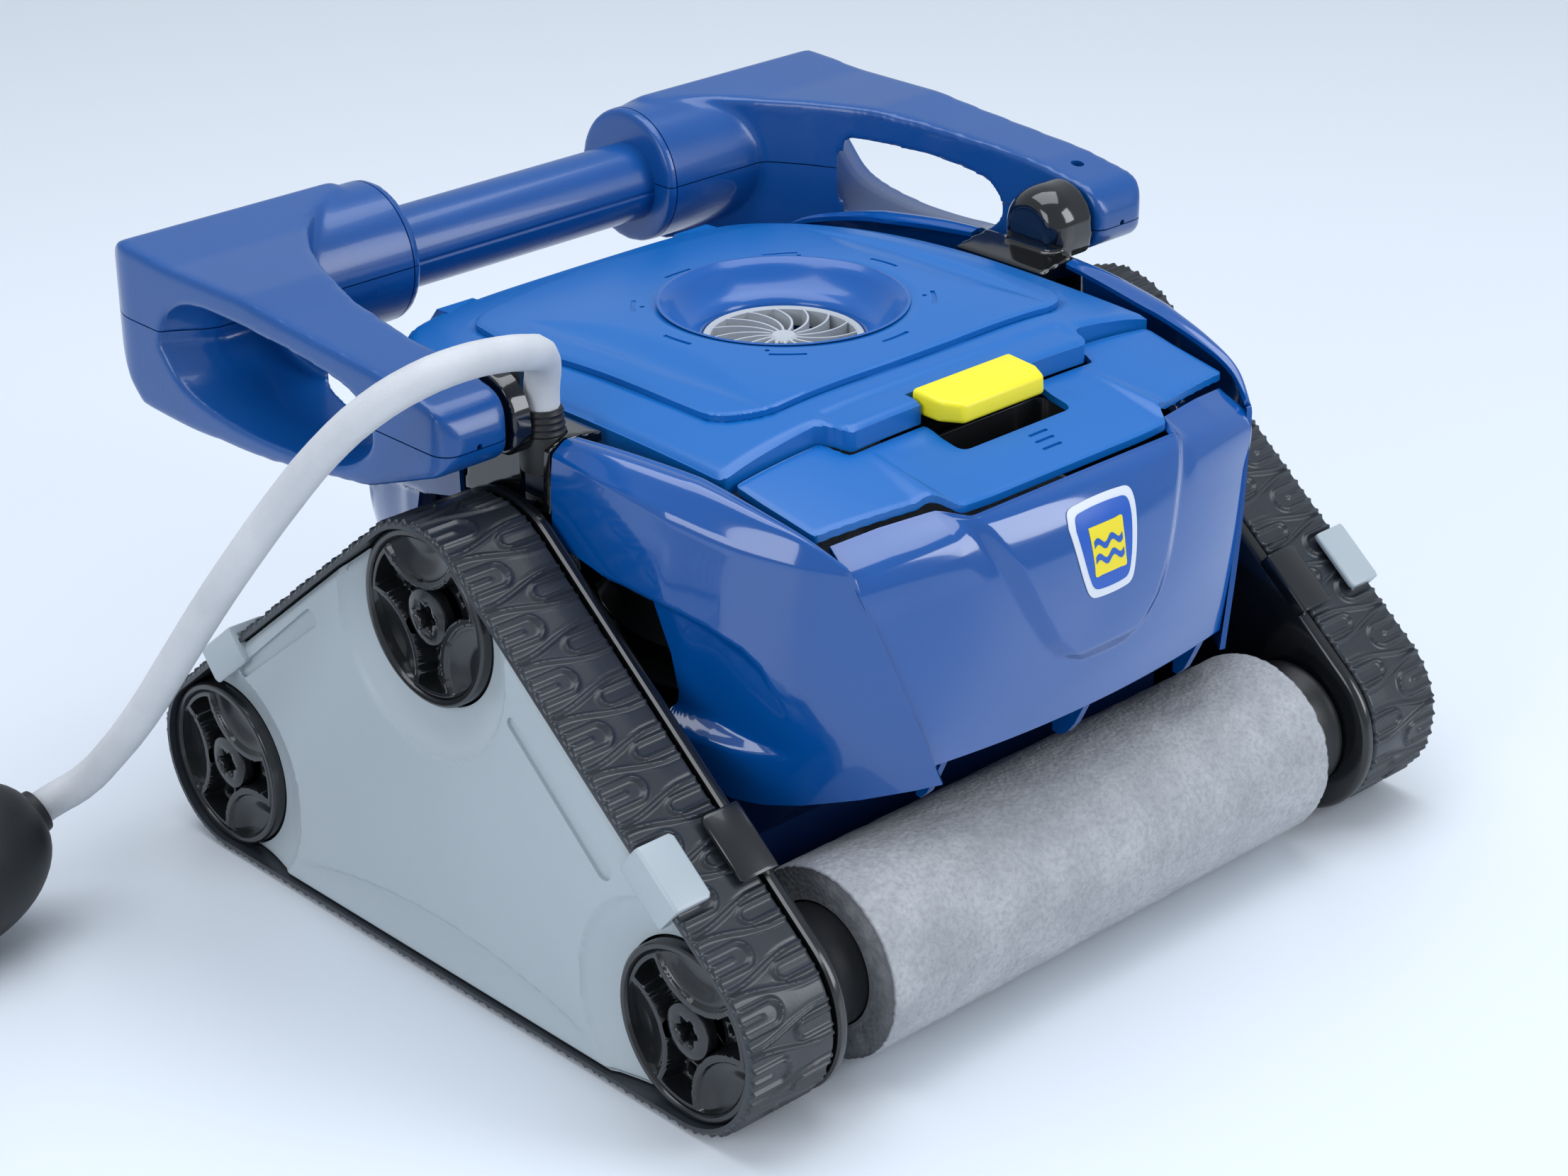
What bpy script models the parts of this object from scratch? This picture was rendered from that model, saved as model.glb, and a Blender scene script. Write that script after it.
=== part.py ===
"""Tracked pool-cleaning robot with two sponge rollers, a swinging float handle and its floating cable.

Metres, +Z up. X runs along the wheel axles, the front faces -Y. The robot is drawn about the middle of
its wheelbase on the floor, and the assembly empty then sets its origin at the bottom centre of its box.
"""

import math

import bmesh
import bpy
from mathutils import Matrix, Vector

# Running gear
HALF_BASE = 0.150
LOW_AXLE_Z = 0.042
TOP_AXLE_Z = 0.165
TRACK_RADIUS = 0.042
BELT_INNER_RADIUS = 0.0378
BELT_INNER_X = 0.1665
BELT_OUTER_X = 0.210
WHEEL_RADIUS = 0.0374
AXLE_RADIUS = 0.005
FRAME_X = (0.1590, 0.1650)
COVER_X = (0.2050, 0.2092)
CLIP_X = 0.2125

# Rollers
SPONGE_RADIUS = 0.0417
SPONGE_HALF = 0.134
CORE_RADIUS = 0.0262

# Body
WALL = 0.003
GAP = 0.0003
TUB_HALF = 0.128
LID_HALF = 0.1255
LID_FRONT_Y = -0.100
LID_CORNER_Y = -0.087
LID_REAR_Y = 0.148
HINGE_Y = 0.1495
HINGE_Z = 0.2125
OUTLET_Y = 0.011

# Handle
PIVOT_Z = 0.240
GRIP_Y = 0.195
GRIP_Z = 0.233
GRIP_RADIUS = 0.0185
GRIP_HALF = 0.080
SEAM_Z = 0.236
REAR_Y = 0.2295

# Cable
CABLE_RADIUS = 0.00725
GLAND = (-0.150, -0.0090)
COIL_CENTRE = (-0.620, 0.120)
COIL_RADIUS = 0.130
COIL_WIDE = 6
COIL_HIGH = 3

# The box runs from the front roller's face to the handle's back.
ORIGIN_Y = (REAR_Y - HALF_BASE - TRACK_RADIUS) / 2

for old in list(bpy.data.objects):
    bpy.data.objects.remove(old)

assembly = bpy.data.objects.new("pool_cleaner", None)
bpy.context.scene.collection.objects.link(assembly)
assembly.location = (0, -ORIGIN_Y, 0)


# ---------------------------------------------------------------- materials and modelling helpers


def material(name, colour, roughness, metallic=0.0):
    made = bpy.data.materials.new(name)
    made.use_nodes = True
    shader = made.node_tree.nodes["Principled BSDF"]
    shader.inputs["Base Color"].default_value = (*colour, 1)
    shader.inputs["Roughness"].default_value = roughness
    shader.inputs["Metallic"].default_value = metallic
    return made


BLUE = material("gloss_blue_plastic", (0.02, 0.10, 0.36), 0.2)
DARK_BLUE = material("dark_blue_plastic", (0.01, 0.03, 0.12), 0.4)
GREY = material("grey_plastic", (0.36, 0.40, 0.43), 0.45)
BLACK = material("gloss_black_plastic", (0.01, 0.01, 0.011), 0.25)
RUBBER = material("black_rubber", (0.015, 0.015, 0.017), 0.5)
SPONGE = material("grey_sponge", (0.36, 0.36, 0.37), 0.9)
YELLOW = material("yellow_plastic", (0.9, 0.75, 0.03), 0.35)
CABLE = material("grey_cable_sheath", (0.55, 0.57, 0.60), 0.55)
STEEL = material("stainless_steel", (0.55, 0.55, 0.56), 0.3, 1.0)
MESH = material("filter_mesh", (0.70, 0.72, 0.74), 0.7)


def finish(name, bm, look, smooth_angle=35):
    """Makes one part from a bmesh, under the assembly."""
    bmesh.ops.remove_doubles(bm, verts=bm.verts, dist=1e-6)
    bmesh.ops.recalc_face_normals(bm, faces=bm.faces)
    mesh = bpy.data.meshes.new(name)
    bm.to_mesh(mesh)
    bm.free()
    mesh.shade_smooth()
    mesh.set_sharp_from_angle(angle=math.radians(smooth_angle))
    mesh.materials.append(look)
    part = bpy.data.objects.new(name, mesh)
    bpy.context.scene.collection.objects.link(part)
    part.parent = assembly
    return part


def lift(axis, u, v, along):
    """A point of an outline in the plane across an axis, at a place along that axis."""
    return {"X": (along, u, v), "Y": (u, along, v), "Z": (u, v, along)}[axis]


def prism(name, outline, low, high, look, axis="X", bevel=0.0):
    """A flat outline pulled along an axis."""
    bm = bmesh.new()
    face = bm.faces.new([bm.verts.new(lift(axis, u, v, low)) for u, v in outline])
    pulled = bmesh.ops.extrude_face_region(bm, geom=[face])["geom"]
    moved = [item for item in pulled if isinstance(item, bmesh.types.BMVert)]
    bmesh.ops.translate(bm, verts=moved, vec=lift(axis, 0, 0, high - low))
    if bevel:
        bmesh.ops.bevel(bm, geom=list(bm.edges), offset=bevel, segments=1, affect="EDGES")
    return finish(name, bm, look)


def block(name, low, high, look):
    outline = [(low[0], low[1]), (high[0], low[1]), (high[0], high[1]), (low[0], high[1])]
    return prism(name, outline, low[2], high[2], look, axis="Z")


def turned(name, profile, centre, look, axis="X", steps=32):
    """A profile of (along, radius) points spun about an axis: closed up as a ring unless it ends on the axis."""
    bm = bmesh.new()
    start = {"X": (0, centre[0], centre[1]), "Y": (centre[0], 0, centre[1]), "Z": (*centre, 0)}[axis]
    across = {"X": Vector((0, 0, 1)), "Y": Vector((0, 0, 1)), "Z": Vector((1, 0, 0))}[axis]
    line = {"X": Vector((1, 0, 0)), "Y": Vector((0, 1, 0)), "Z": Vector((0, 0, 1))}[axis]
    verts = [bm.verts.new(Vector(start) + line * along + across * radius) for along, radius in profile]
    ends = list(zip(verts, verts[1:]))
    if profile[0][1] > 0:
        ends.append((verts[-1], verts[0]))
    edges = [bm.edges.new(pair) for pair in ends]
    bmesh.ops.spin(
        bm,
        geom=verts + edges,
        cent=start,
        axis=line,
        angle=math.tau,
        steps=steps,
        use_merge=True,
        dvec=(0, 0, 0),
    )
    return finish(name, bm, look)


def tube(name, inner, outer, low, high, centre, look, axis="X", steps=32):
    profile = [(low, inner), (low, outer), (high, outer), (high, inner)]
    return turned(name, profile, centre, look, axis, steps)


def rod(name, radius, low, high, centre, look, axis="X", steps=20):
    profile = [(low, 0), (low, radius), (high, radius), (high, 0)]
    return turned(name, profile, centre, look, axis, steps)


def slab(name, rows, pull, look):
    """A curved plate: rows of points on its outer side, pulled to its inner side."""
    bm = bmesh.new()
    grid = [[bm.verts.new(point) for point in row] for row in rows]
    for above, below in zip(grid, grid[1:]):
        for k in range(len(above) - 1):
            bm.faces.new((above[k], above[k + 1], below[k + 1], below[k]))
    pulled = bmesh.ops.extrude_face_region(bm, geom=list(bm.faces))["geom"]
    moved = [item for item in pulled if isinstance(item, bmesh.types.BMVert)]
    bmesh.ops.translate(bm, verts=moved, vec=pull)
    return finish(name, bm, look, 25)


def bake(part):
    """Turns a part's modifiers into its mesh."""
    bpy.context.view_layer.update()
    graph = bpy.context.evaluated_depsgraph_get()
    solid = bpy.data.meshes.new_from_object(part.evaluated_get(graph))
    part.modifiers.clear()
    part.data = solid


def combine(part, other, operation):
    """Boolean with a helper, which is then removed."""
    step = part.modifiers.new(operation.lower(), "BOOLEAN")
    step.operation = operation
    step.object = other
    step.solver = "EXACT"
    bake(part)
    bpy.data.objects.remove(other)
    return part


def cut(part, *helpers):
    for helper in helpers:
        combine(part, helper, "DIFFERENCE")
    return part


def join(part, *helpers):
    for helper in helpers:
        combine(part, helper, "UNION")
    return part


def mirrored(part, name, axis="X"):
    """A copy of a part on the other side of the robot, with its own mesh."""
    scale = {"X": (-1, 1, 1), "Y": (1, -1, 1)}[axis]
    mesh = part.data.copy()
    mesh.transform(Matrix.Diagonal((*scale, 1)))
    mesh.flip_normals()
    copy = bpy.data.objects.new(name, mesh)
    bpy.context.scene.collection.objects.link(copy)
    copy.parent = assembly
    return copy


def arc(centre, radius, start, end, steps):
    """Points on an arc in degrees, both ends included."""
    found = []
    for k in range(steps + 1):
        angle = math.radians(start + (end - start) * k / steps)
        found.append((centre[0] + radius * math.cos(angle), centre[1] + radius * math.sin(angle)))
    return found


SLOPE = math.degrees(math.atan2(TOP_AXLE_Z - LOW_AXLE_Z, HALF_BASE))


def track_outline(radius, steps):
    """The rounded triangle round the three wheels, in Y and Z."""
    front = arc((-HALF_BASE, LOW_AXLE_Z), radius, 90 + SLOPE, 270, steps)
    rear = arc((HALF_BASE, LOW_AXLE_Z), radius, -90, 90 - SLOPE, steps)
    top = arc((0, TOP_AXLE_Z), radius, 90 - SLOPE, 90 + SLOPE, steps)
    return front + rear + top


def along_slope(distance, offset, side):
    """A point on the sloping run: distance down from the top axle, offset outwards; side -1 is the front."""
    angle = math.radians(SLOPE)
    y = distance * math.cos(angle) + offset * math.sin(angle)
    z = TOP_AXLE_Z - distance * math.sin(angle) + offset * math.cos(angle)
    return side * y, z


def slope_strip(name, start, end, low, high, x_low, x_high, look, side):
    """A bar that lies along the sloping run, between two offsets from the axle line."""
    corners = [(start, low), (end, low), (end, high), (start, high)]
    outline = [along_slope(distance, offset, side) for distance, offset in corners]
    return prism(name, outline, x_low, x_high, look)


# ---------------------------------------------------------------- tracks, wheels and rollers, right side

belt = prism("track_belt_right", track_outline(TRACK_RADIUS, 14), BELT_INNER_X, BELT_OUTER_X, RUBBER)
cut(belt, prism("belt_inside", track_outline(BELT_INNER_RADIUS, 14), 0.15, 0.23, RUBBER))
mirrored(belt, "track_belt_left")

AXLES = {"front": (-HALF_BASE, LOW_AXLE_Z), "rear": (HALF_BASE, LOW_AXLE_Z), "top": (0, TOP_AXLE_Z)}
WHEEL_X = (0.1680, 0.2072)
HUB_RADIUS = 0.0125
for place, axle in AXLES.items():
    bore = AXLE_RADIUS + GAP
    inner, outer = WHEEL_X
    head = outer - 0.0042
    rim = [
        (inner, WHEEL_RADIUS),
        (outer, WHEEL_RADIUS),
        (outer, WHEEL_RADIUS - 0.004),
        (outer - 0.010, WHEEL_RADIUS - 0.006),
        (outer - 0.010, HUB_RADIUS),
    ]
    cap = [(head, HUB_RADIUS - 0.0008), (head + 0.003, HUB_RADIUS - 0.0025), (head + 0.003, 0)]
    if place == "top":
        # The top wheel is one piece with the shaft that its motor turns.
        profile = [(0.118, 0), (0.118, AXLE_RADIUS), (inner, AXLE_RADIUS), *rim, (head, HUB_RADIUS), *cap[1:]]
    else:
        profile = [(inner, bore), *rim, (outer - 0.0045, HUB_RADIUS), (outer - 0.0045, bore)]
        bolt_profile = [(FRAME_X[0] + GAP, 0), (FRAME_X[0] + GAP, AXLE_RADIUS), (head, AXLE_RADIUS), *cap]
        bolt = turned(f"axle_bolt_right_{place}", bolt_profile, axle, BLACK, steps=20)
        mirrored(bolt, f"axle_bolt_left_{place}")
    wheel = turned(f"wheel_right_{place}", profile, axle, BLACK, steps=28)
    mirrored(wheel, f"wheel_left_{place}")

for place, side in (("front", -1), ("rear", 1)):
    axle = (side * HALF_BASE, LOW_AXLE_Z)
    tube(f"roller_sponge_{place}", CORE_RADIUS + GAP, SPONGE_RADIUS, -SPONGE_HALF, SPONGE_HALF, axle, SPONGE, steps=40)
    flange = 0.0300
    core_end = 0.1582
    core_profile = [
        (-core_end, 0),
        (-core_end, flange),
        (-core_end + 0.004, flange),
        (-core_end + 0.010, CORE_RADIUS),
        (core_end - 0.010, CORE_RADIUS),
        (core_end - 0.004, flange),
        (core_end, flange),
        (core_end, 0),
    ]
    turned(f"roller_core_{place}", core_profile, axle, BLACK, steps=32)

# ---------------------------------------------------------------- side frames and covers

side_frame = prism("side_frame_right", track_outline(0.0405, 8), *FRAME_X, BLACK)
CLIP_START, CLIP_END = 0.131, 0.161
for side in (-1, 1):
    # A tab that reaches out over the belt and keeps it on its wheels.
    foot_x = (FRAME_X[0] + 0.0004, FRAME_X[1] - 0.0004)
    tab_foot = slope_strip("tab_foot", CLIP_START, CLIP_END, 0.038, 0.0450, *foot_x, BLACK, side)
    tab = slope_strip("tab", CLIP_START + 0.001, CLIP_END - 0.001, 0.0426, 0.0455, FRAME_X[0] + 0.001, 0.179, BLACK, side)
    join(side_frame, tab_foot, tab)
    boss = rod("boss", 0.012, TUB_HALF + GAP, FRAME_X[0] + 0.001, (side * 0.062, 0.062), BLACK, steps=16)
    join(side_frame, boss)
for side in (-1, 1):
    bolt_hole = rod("bolt_hole", AXLE_RADIUS + GAP, 0.155, 0.17, (side * HALF_BASE, LOW_AXLE_Z), BLACK)
    cut(side_frame, bolt_hole)
cut(side_frame, rod("shaft_hole", AXLE_RADIUS + 0.002, 0.155, 0.17, AXLES["top"], BLACK))
mirrored(side_frame, "side_frame_left")

cover = prism("side_cover_right", track_outline(BELT_INNER_RADIUS - 0.0006, 8), *COVER_X, GREY)
COVER_BITE = WHEEL_RADIUS + 0.0012
for axle in AXLES.values():
    cut(cover, rod("wheel_window", COVER_BITE, 0.20, 0.22, axle, GREY, steps=36))
for side in (-1, 1):
    # What the round windows leave beyond each wheel is trimmed off square to the slope.
    tip = [(side * (HALF_BASE + 0.003), -0.01), (side * 0.25, -0.01), (side * 0.25, 0.3)]
    tip.append((side * (HALF_BASE + 0.003), LOW_AXLE_Z + 0.045))
    cut(cover, prism("tip", tip, 0.19, 0.23, GREY))
    # A clip that wraps the belt's outer edge.
    foot = slope_strip("clip_foot", CLIP_START, CLIP_END, 0.030, 0.0462, COVER_X[1] + 0.0012, CLIP_X, GREY, side)
    root = slope_strip("clip_root", CLIP_START, CLIP_END, 0.030, 0.0366, COVER_X[0], CLIP_X, GREY, side)
    hook = slope_strip("clip_hook", CLIP_START, CLIP_END, TRACK_RADIUS + 0.0006, 0.0462, 0.193, CLIP_X, GREY, side)
    join(cover, foot, root, hook)
peak = [(-0.05, TOP_AXLE_Z + 0.016), (0.05, TOP_AXLE_Z + 0.016), (0.05, 0.26), (-0.05, 0.26)]
cut(cover, prism("peak", peak, 0.19, 0.23, GREY))
for y, z in ((-0.055, 0.052), (0.055, 0.052), (0.0, 0.100)):
    join(cover, rod("post", 0.008, FRAME_X[1] + GAP, COVER_X[0] + 0.001, (y, z), GREY, steps=14))
mirrored(cover, "side_cover_left")

# ---------------------------------------------------------------- chassis tray and tub

TRAY_Z = (0.014, 0.030)
tray = block("chassis_tray", (-0.150, -0.098, TRAY_Z[0]), (0.150, 0.098, TRAY_Z[1]), DARK_BLUE)
for side in (-1, 1):
    # Suction slots ahead of and behind the pump.
    low, high = (-0.080, side * 0.062 - 0.009, 0.0), (0.080, side * 0.062 + 0.009, 0.05)
    cut(tray, block("slot", low, high, DARK_BLUE))

FLAP_HINGE = 0.0505
flap = [(-FLAP_HINGE, TRAY_Z[1] + GAP), (-0.0745, TRAY_Z[1] + GAP), (-0.0745, TRAY_Z[1] + 0.0018)]
flap += [(-FLAP_HINGE, TRAY_Z[1] + 0.0018)]
front_flap = prism("intake_flap_front", flap, -0.083, 0.083, RUBBER)
mirrored(front_flap, "intake_flap_rear", "Y")

TUB_TOP = 0.196


def tub_outline(inset):
    """Half the tub's side profile, mirrored: narrow between the rollers and stepping out above them."""
    half = [(0.098, TRAY_Z[1] + GAP), (0.101, 0.075), (0.121, 0.098), (0.1425, 0.106), (0.1425, TUB_TOP)]
    half = [(y - inset, z) for y, z in half]
    return half + [(-y, z) for y, z in reversed(half)]


tub = prism("body_tub", tub_outline(0), -TUB_HALF, TUB_HALF, DARK_BLUE)


def trim_corners(part, inset):
    """Cuts off the four upright corners, which leaves room for the fenders."""
    for side_x in (-1, 1):
        for side_y in (-1, 1):
            corner = [(0.129, 0.0905), (0.0885, 0.1475), (0.2, 0.2)]
            outline = [(side_x * (x - inset), side_y * (y - inset)) for x, y in corner]
            cut(part, prism("corner", outline, 0.0, 0.25, DARK_BLUE, axis="Z"))
    return part


trim_corners(tub, 0.0)
inside = [(y, z + (0.02 if z >= TUB_TOP else 0) - (0.02 if z < 0.04 else 0)) for y, z in tub_outline(WALL)]
hollow = prism("tub_inside", inside, -TUB_HALF + WALL, TUB_HALF - WALL, DARK_BLUE)
cut(tub, trim_corners(hollow, 0.0025))
for side in (-1, 1):
    hole = rod("shaft_hole", AXLE_RADIUS + 0.002, side * 0.12, side * 0.14, AXLES["top"], DARK_BLUE)
    cut(tub, hole)

# ---------------------------------------------------------------- outer body: fenders, panels and deck

# Stations run forward from the handle's pivot. Each has five points from the lid's edge, over the crown and the
# crease, down to the lower edge, as (x, y, z).
FENDER = [
    [(0.1425, -0.0215, 0.2300), (0.1490, -0.0215, 0.2308), (0.1560, -0.0215, 0.2265), (0.1572, -0.0215, 0.2080), (0.1570, -0.0215, 0.1905)],
    [(0.1375, -0.0450, 0.2295), (0.1460, -0.0450, 0.2306), (0.1548, -0.0450, 0.2240), (0.1565, -0.0450, 0.2050), (0.1560, -0.0450, 0.1855)],
    [(0.1315, -0.0750, 0.2278), (0.1410, -0.0750, 0.2288), (0.1515, -0.0750, 0.2195), (0.1535, -0.0750, 0.1980), (0.1520, -0.0730, 0.1765)],
    [(0.1300, -0.0880, 0.2265), (0.1385, -0.0880, 0.2272), (0.1485, -0.0880, 0.2165), (0.1500, -0.0850, 0.1550), (0.1340, -0.0880, 0.0960)],
    [(0.1275, -0.1120, 0.2220), (0.1340, -0.1120, 0.2222), (0.1415, -0.1120, 0.2110), (0.1410, -0.1120, 0.1520), (0.1200, -0.1120, 0.0930)],
    [(0.1240, -0.1320, 0.2165), (0.1275, -0.1330, 0.2163), (0.1310, -0.1350, 0.2070), (0.1270, -0.1380, 0.1520), (0.1050, -0.1380, 0.0970)],
    [(0.1178, -0.1475, 0.2075), (0.1182, -0.1490, 0.2062), (0.1175, -0.1505, 0.2045), (0.1030, -0.1610, 0.1550), (0.0855, -0.1665, 0.1135)],
]
fender = slab("fender_front_right", FENDER, (-0.0024, 0.0014, -0.0024), BLUE)
mirrored(fender, "fender_front_left")
rear_fender = mirrored(fender, "fender_rear_right", "Y")
rear_fender.data.transform(Matrix.Translation((0, 0.0180, 0)) @ Matrix.Diagonal((1, 0.860, 1, 1)))
mirrored(rear_fender, "fender_rear_left")

# Rows from the top edge down: (middle y, middle z, edge x, edge y, edge z).
PANEL_ROWS = [
    (-0.1630, 0.2090, 0.1130, -0.1500, 0.2000),
    (-0.1705, 0.1900, 0.1060, -0.1545, 0.1800),
    (-0.1745, 0.1620, 0.0980, -0.1590, 0.1560),
    (-0.1735, 0.1370, 0.0890, -0.1625, 0.1340),
    (-0.1700, 0.1165, 0.0815, -0.1640, 0.1180),
]
PANEL_SHARES = (0.0, 0.27, 0.53, 0.59, 0.82, 1.0)
PANEL_TOP = [(0.0, -0.1540, 0.2140), (0.031, -0.1540, 0.2140), (0.0605, -0.1535, 0.2135), (0.0675, -0.1440, 0.2145)]
PANEL_TOP += [(0.0935, -0.1390, 0.2135), (0.1145, -0.1345, 0.2110)]


def both_sides(half_row):
    """A row of points from the left edge to the right one, from its right half."""
    return [(-x, y, z) for x, y, z in reversed(half_row[1:])] + half_row


def panel_rows(top):
    rows = [both_sides(top)]
    for middle_y, middle_z, edge_x, edge_y, edge_z in PANEL_ROWS:
        half = []
        for share in PANEL_SHARES:
            y = edge_y + (middle_y - edge_y) * (1 - share**2)
            z = edge_z + (middle_z - edge_z) * (1 - share**2)
            half.append((share * edge_x, y, z))
        rows.append(both_sides(half))
    return rows


front_panel = slab("front_panel", panel_rows(PANEL_TOP), (0, WALL, -0.0012), BLUE)
for x in (-0.0780, 0.0, 0.0780):
    # Short ribs under the lower edge keep leaves off the roller.
    rib = [(-0.1692, 0.1215), (-0.1560, 0.0975), (-0.1500, 0.0945), (-0.1485, 0.1190)]
    if x:
        rib = [(-0.1633, 0.1225), (-0.1520, 0.0950), (-0.1480, 0.0940), (-0.1475, 0.1205)]
    join(front_panel, prism("rib", rib, x - 0.002, x + 0.002, BLUE))

REAR_TOP = [(share * 0.1130, -0.1560 + 0.0065 * share**2, 0.2085 - 0.0035 * share**2) for share in PANEL_SHARES]
rear_rows = panel_rows(REAR_TOP)
del rear_rows[1]
rear_panel = slab("rear_panel", [[(x, -y, z) for x, y, z in row] for row in rear_rows], (0, -WALL, -0.0012), BLUE)


def deck_z(x, y):
    """Height of the strip ahead of the lid, which falls towards the front and the corners."""
    return 0.2262 - 0.19 * (-0.1015 - y) - 0.005 * (abs(x) / 0.121) ** 4


DECK_COLUMNS = [(0.0, -0.1015, -0.1520), (0.0360, -0.1015, -0.1520), (0.0605, -0.1015, -0.1515)]
DECK_COLUMNS += [(0.0665, -0.1015, -0.1415), (0.0710, -0.1015, -0.1405), (0.0750, -0.0885, -0.1395)]
DECK_COLUMNS += [(0.0950, -0.0885, -0.1360), (0.1210, -0.0885, -0.1310)]
DECK_COLUMNS = [(-x, rear, front) for x, rear, front in reversed(DECK_COLUMNS[1:])] + DECK_COLUMNS
deck_rows = []
for share in (0.0, 0.35, 0.7, 1.0):
    row = []
    for x, rear, front in DECK_COLUMNS:
        y = rear + (front - rear) * share
        row.append((x, y, deck_z(x, y)))
    deck_rows.append(row)
front_deck = slab("front_deck", deck_rows, (0, 0.0005, -WALL), BLUE)
cut(front_deck, block("finger_well", (-0.0340, -0.1240, 0.20), (0.0340, -0.09, 0.25), BLUE))

# ---------------------------------------------------------------- lid, outlet and latch

LID_TOP = 0.2405


def lid_z(x, y):
    """Height of the crowned lid: nearly level to the front, falling away to the rear and at its sides."""
    along = 0.30 * y**2 if y < 0 else 0.85 * y**2
    return LID_TOP - 0.0115 * (x / 0.127) ** 4 - along


def lid_rows(columns, shares, raise_by=0.0):
    """A lid surface over columns of (x, front y, rear y)."""
    rows = []
    for share in shares:
        row = []
        for x, front, rear in columns:
            y = front + (rear - front) * share
            row.append((x, y, lid_z(x, y) + raise_by))
        rows.append(row)
    return rows


LID_COLUMNS = [(0.0, LID_FRONT_Y, LID_REAR_Y), (0.0300, LID_FRONT_Y, LID_REAR_Y), (0.0700, LID_FRONT_Y, 0.1475)]
LID_COLUMNS += [(0.0735, LID_CORNER_Y, 0.1472), (0.0980, LID_CORNER_Y, 0.1440), (0.1160, LID_CORNER_Y, 0.1250)]
LID_COLUMNS += [(LID_HALF, LID_CORNER_Y + 0.002, 0.0900)]
LID_COLUMNS = [(-x, front, rear) for x, front, rear in reversed(LID_COLUMNS[1:])] + LID_COLUMNS
LID_THICK = 0.004
lid_shell = slab("lid_shell", lid_rows(LID_COLUMNS, (0, 0.2, 0.4, 0.6, 0.8, 1)), (0, 0, -LID_THICK), BLUE)
OUTLET_RADIUS = 0.0525
OUTLET = (0.0, OUTLET_Y)
cut(lid_shell, rod("outlet", OUTLET_RADIUS, 0.20, 0.26, OUTLET, BLUE, axis="Z", steps=40))
LATCH_HALF = 0.0285
LATCH_Y = (-0.1195, -0.0920)
cut(lid_shell, block("latch_notch", (-LATCH_HALF - 0.001, -0.11, 0.20), (LATCH_HALF + 0.001, -0.0905, 0.26), BLUE))
KNUCKLE = 0.0045
PIN = 0.002
for side in (-1, 1):
    near, far = sorted((side * 0.060, side * 0.080))
    lug = rod("lug", KNUCKLE, near, far, (HINGE_Y - 0.0005, HINGE_Z), BLUE, steps=16)
    web = block("web", (near, HINGE_Y - 0.012, HINGE_Z - 0.001), (far, HINGE_Y - 0.002, HINGE_Z + 0.0095), BLUE)
    join(lid_shell, lug, web)
cut(lid_shell, rod("pin_hole", PIN + GAP, -0.1, 0.1, (HINGE_Y, HINGE_Z), BLUE, steps=16))
rod("lid_hinge_pin", PIN, -0.0835, 0.0835, (HINGE_Y, HINGE_Z), STEEL, steps=14)

hinge_rail = block("hinge_rail", (-0.064, 0.1260, TUB_TOP + GAP), (0.064, 0.1490, 0.2055), BLUE)
for side in (-1, 1):
    near, far = sorted((side * 0.044, side * 0.0590))
    ear = [(HINGE_Y - 0.0042, 0.2040), (HINGE_Y - 0.0008, 0.2040)]
    ear += arc((HINGE_Y, HINGE_Z), 0.0042, 0, 180, 8)
    join(hinge_rail, prism("ear", ear, near, far, BLUE))
cut(hinge_rail, rod("pin_hole", PIN + GAP, -0.1, 0.1, (HINGE_Y, HINGE_Z), BLUE, steps=16))

PANEL_COLUMNS = [(0.0, -0.0670, 0.1270), (0.050, -0.0665, 0.1262), (0.0830, -0.0650, 0.1215), (0.0990, -0.0560, 0.1000)]
PANEL_COLUMNS = [(-x, front, rear) for x, front, rear in reversed(PANEL_COLUMNS[1:])] + PANEL_COLUMNS
panel_shape = lid_rows(PANEL_COLUMNS, (0, 0.2, 0.4, 0.6, 0.8, 1), 0.0026)
lid_panel = slab("lid_panel", panel_shape, (0, 0, -0.0012), BLUE)
cut(lid_panel, rod("outlet", OUTLET_RADIUS, 0.20, 0.26, OUTLET, BLUE, axis="Z", steps=40))

THROAT = 0.0350
FUNNEL_TOP = LID_TOP + 0.0008
funnel_profile = [
    (FUNNEL_TOP, OUTLET_RADIUS - GAP),
    (FUNNEL_TOP - 0.006, 0.0430),
    (0.2270, THROAT + 0.001),
    (0.2100, THROAT),
    (0.2100, THROAT + 0.0025),
    (0.2240, THROAT + 0.0040),
    (FUNNEL_TOP - 0.0090, OUTLET_RADIUS - GAP),
]
turned("outlet_funnel", funnel_profile, OUTLET, BLUE, axis="Z", steps=40)

# The outlet grille: a hub, a rim and vanes.
GRILLE_Z = (0.2180, 0.2260)
grille = tube("outlet_grille", THROAT - 0.0035, THROAT - GAP, *GRILLE_Z, OUTLET, GREY, axis="Z", steps=32)
join(grille, rod("hub", 0.0060, *GRILLE_Z, OUTLET, GREY, axis="Z", steps=12))
VANES = 12
for k in range(VANES):
    vane = block("vane", (0.004, -0.0006, GRILLE_Z[0] + 0.001), (THROAT - 0.002, 0.0006, GRILLE_Z[1] - 0.001), GREY)
    place = Matrix.Translation((*OUTLET, 0)) @ Matrix.Rotation(math.tau * k / VANES, 4, "Z")
    vane.data.transform(place)
    join(grille, vane)

LATCH_TOP = 0.2392
latch_outline = [(LATCH_Y[1], 0.2290), (LATCH_Y[1], 0.2365), (-0.1000, LATCH_TOP), (-0.1160, LATCH_TOP - 0.0012)]
latch_outline += [(LATCH_Y[0], LATCH_TOP - 0.0040), (LATCH_Y[0] + 0.0010, 0.2285), (-0.1060, 0.2285)]
prism("latch_button", latch_outline, -LATCH_HALF, LATCH_HALF, YELLOW)

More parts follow.
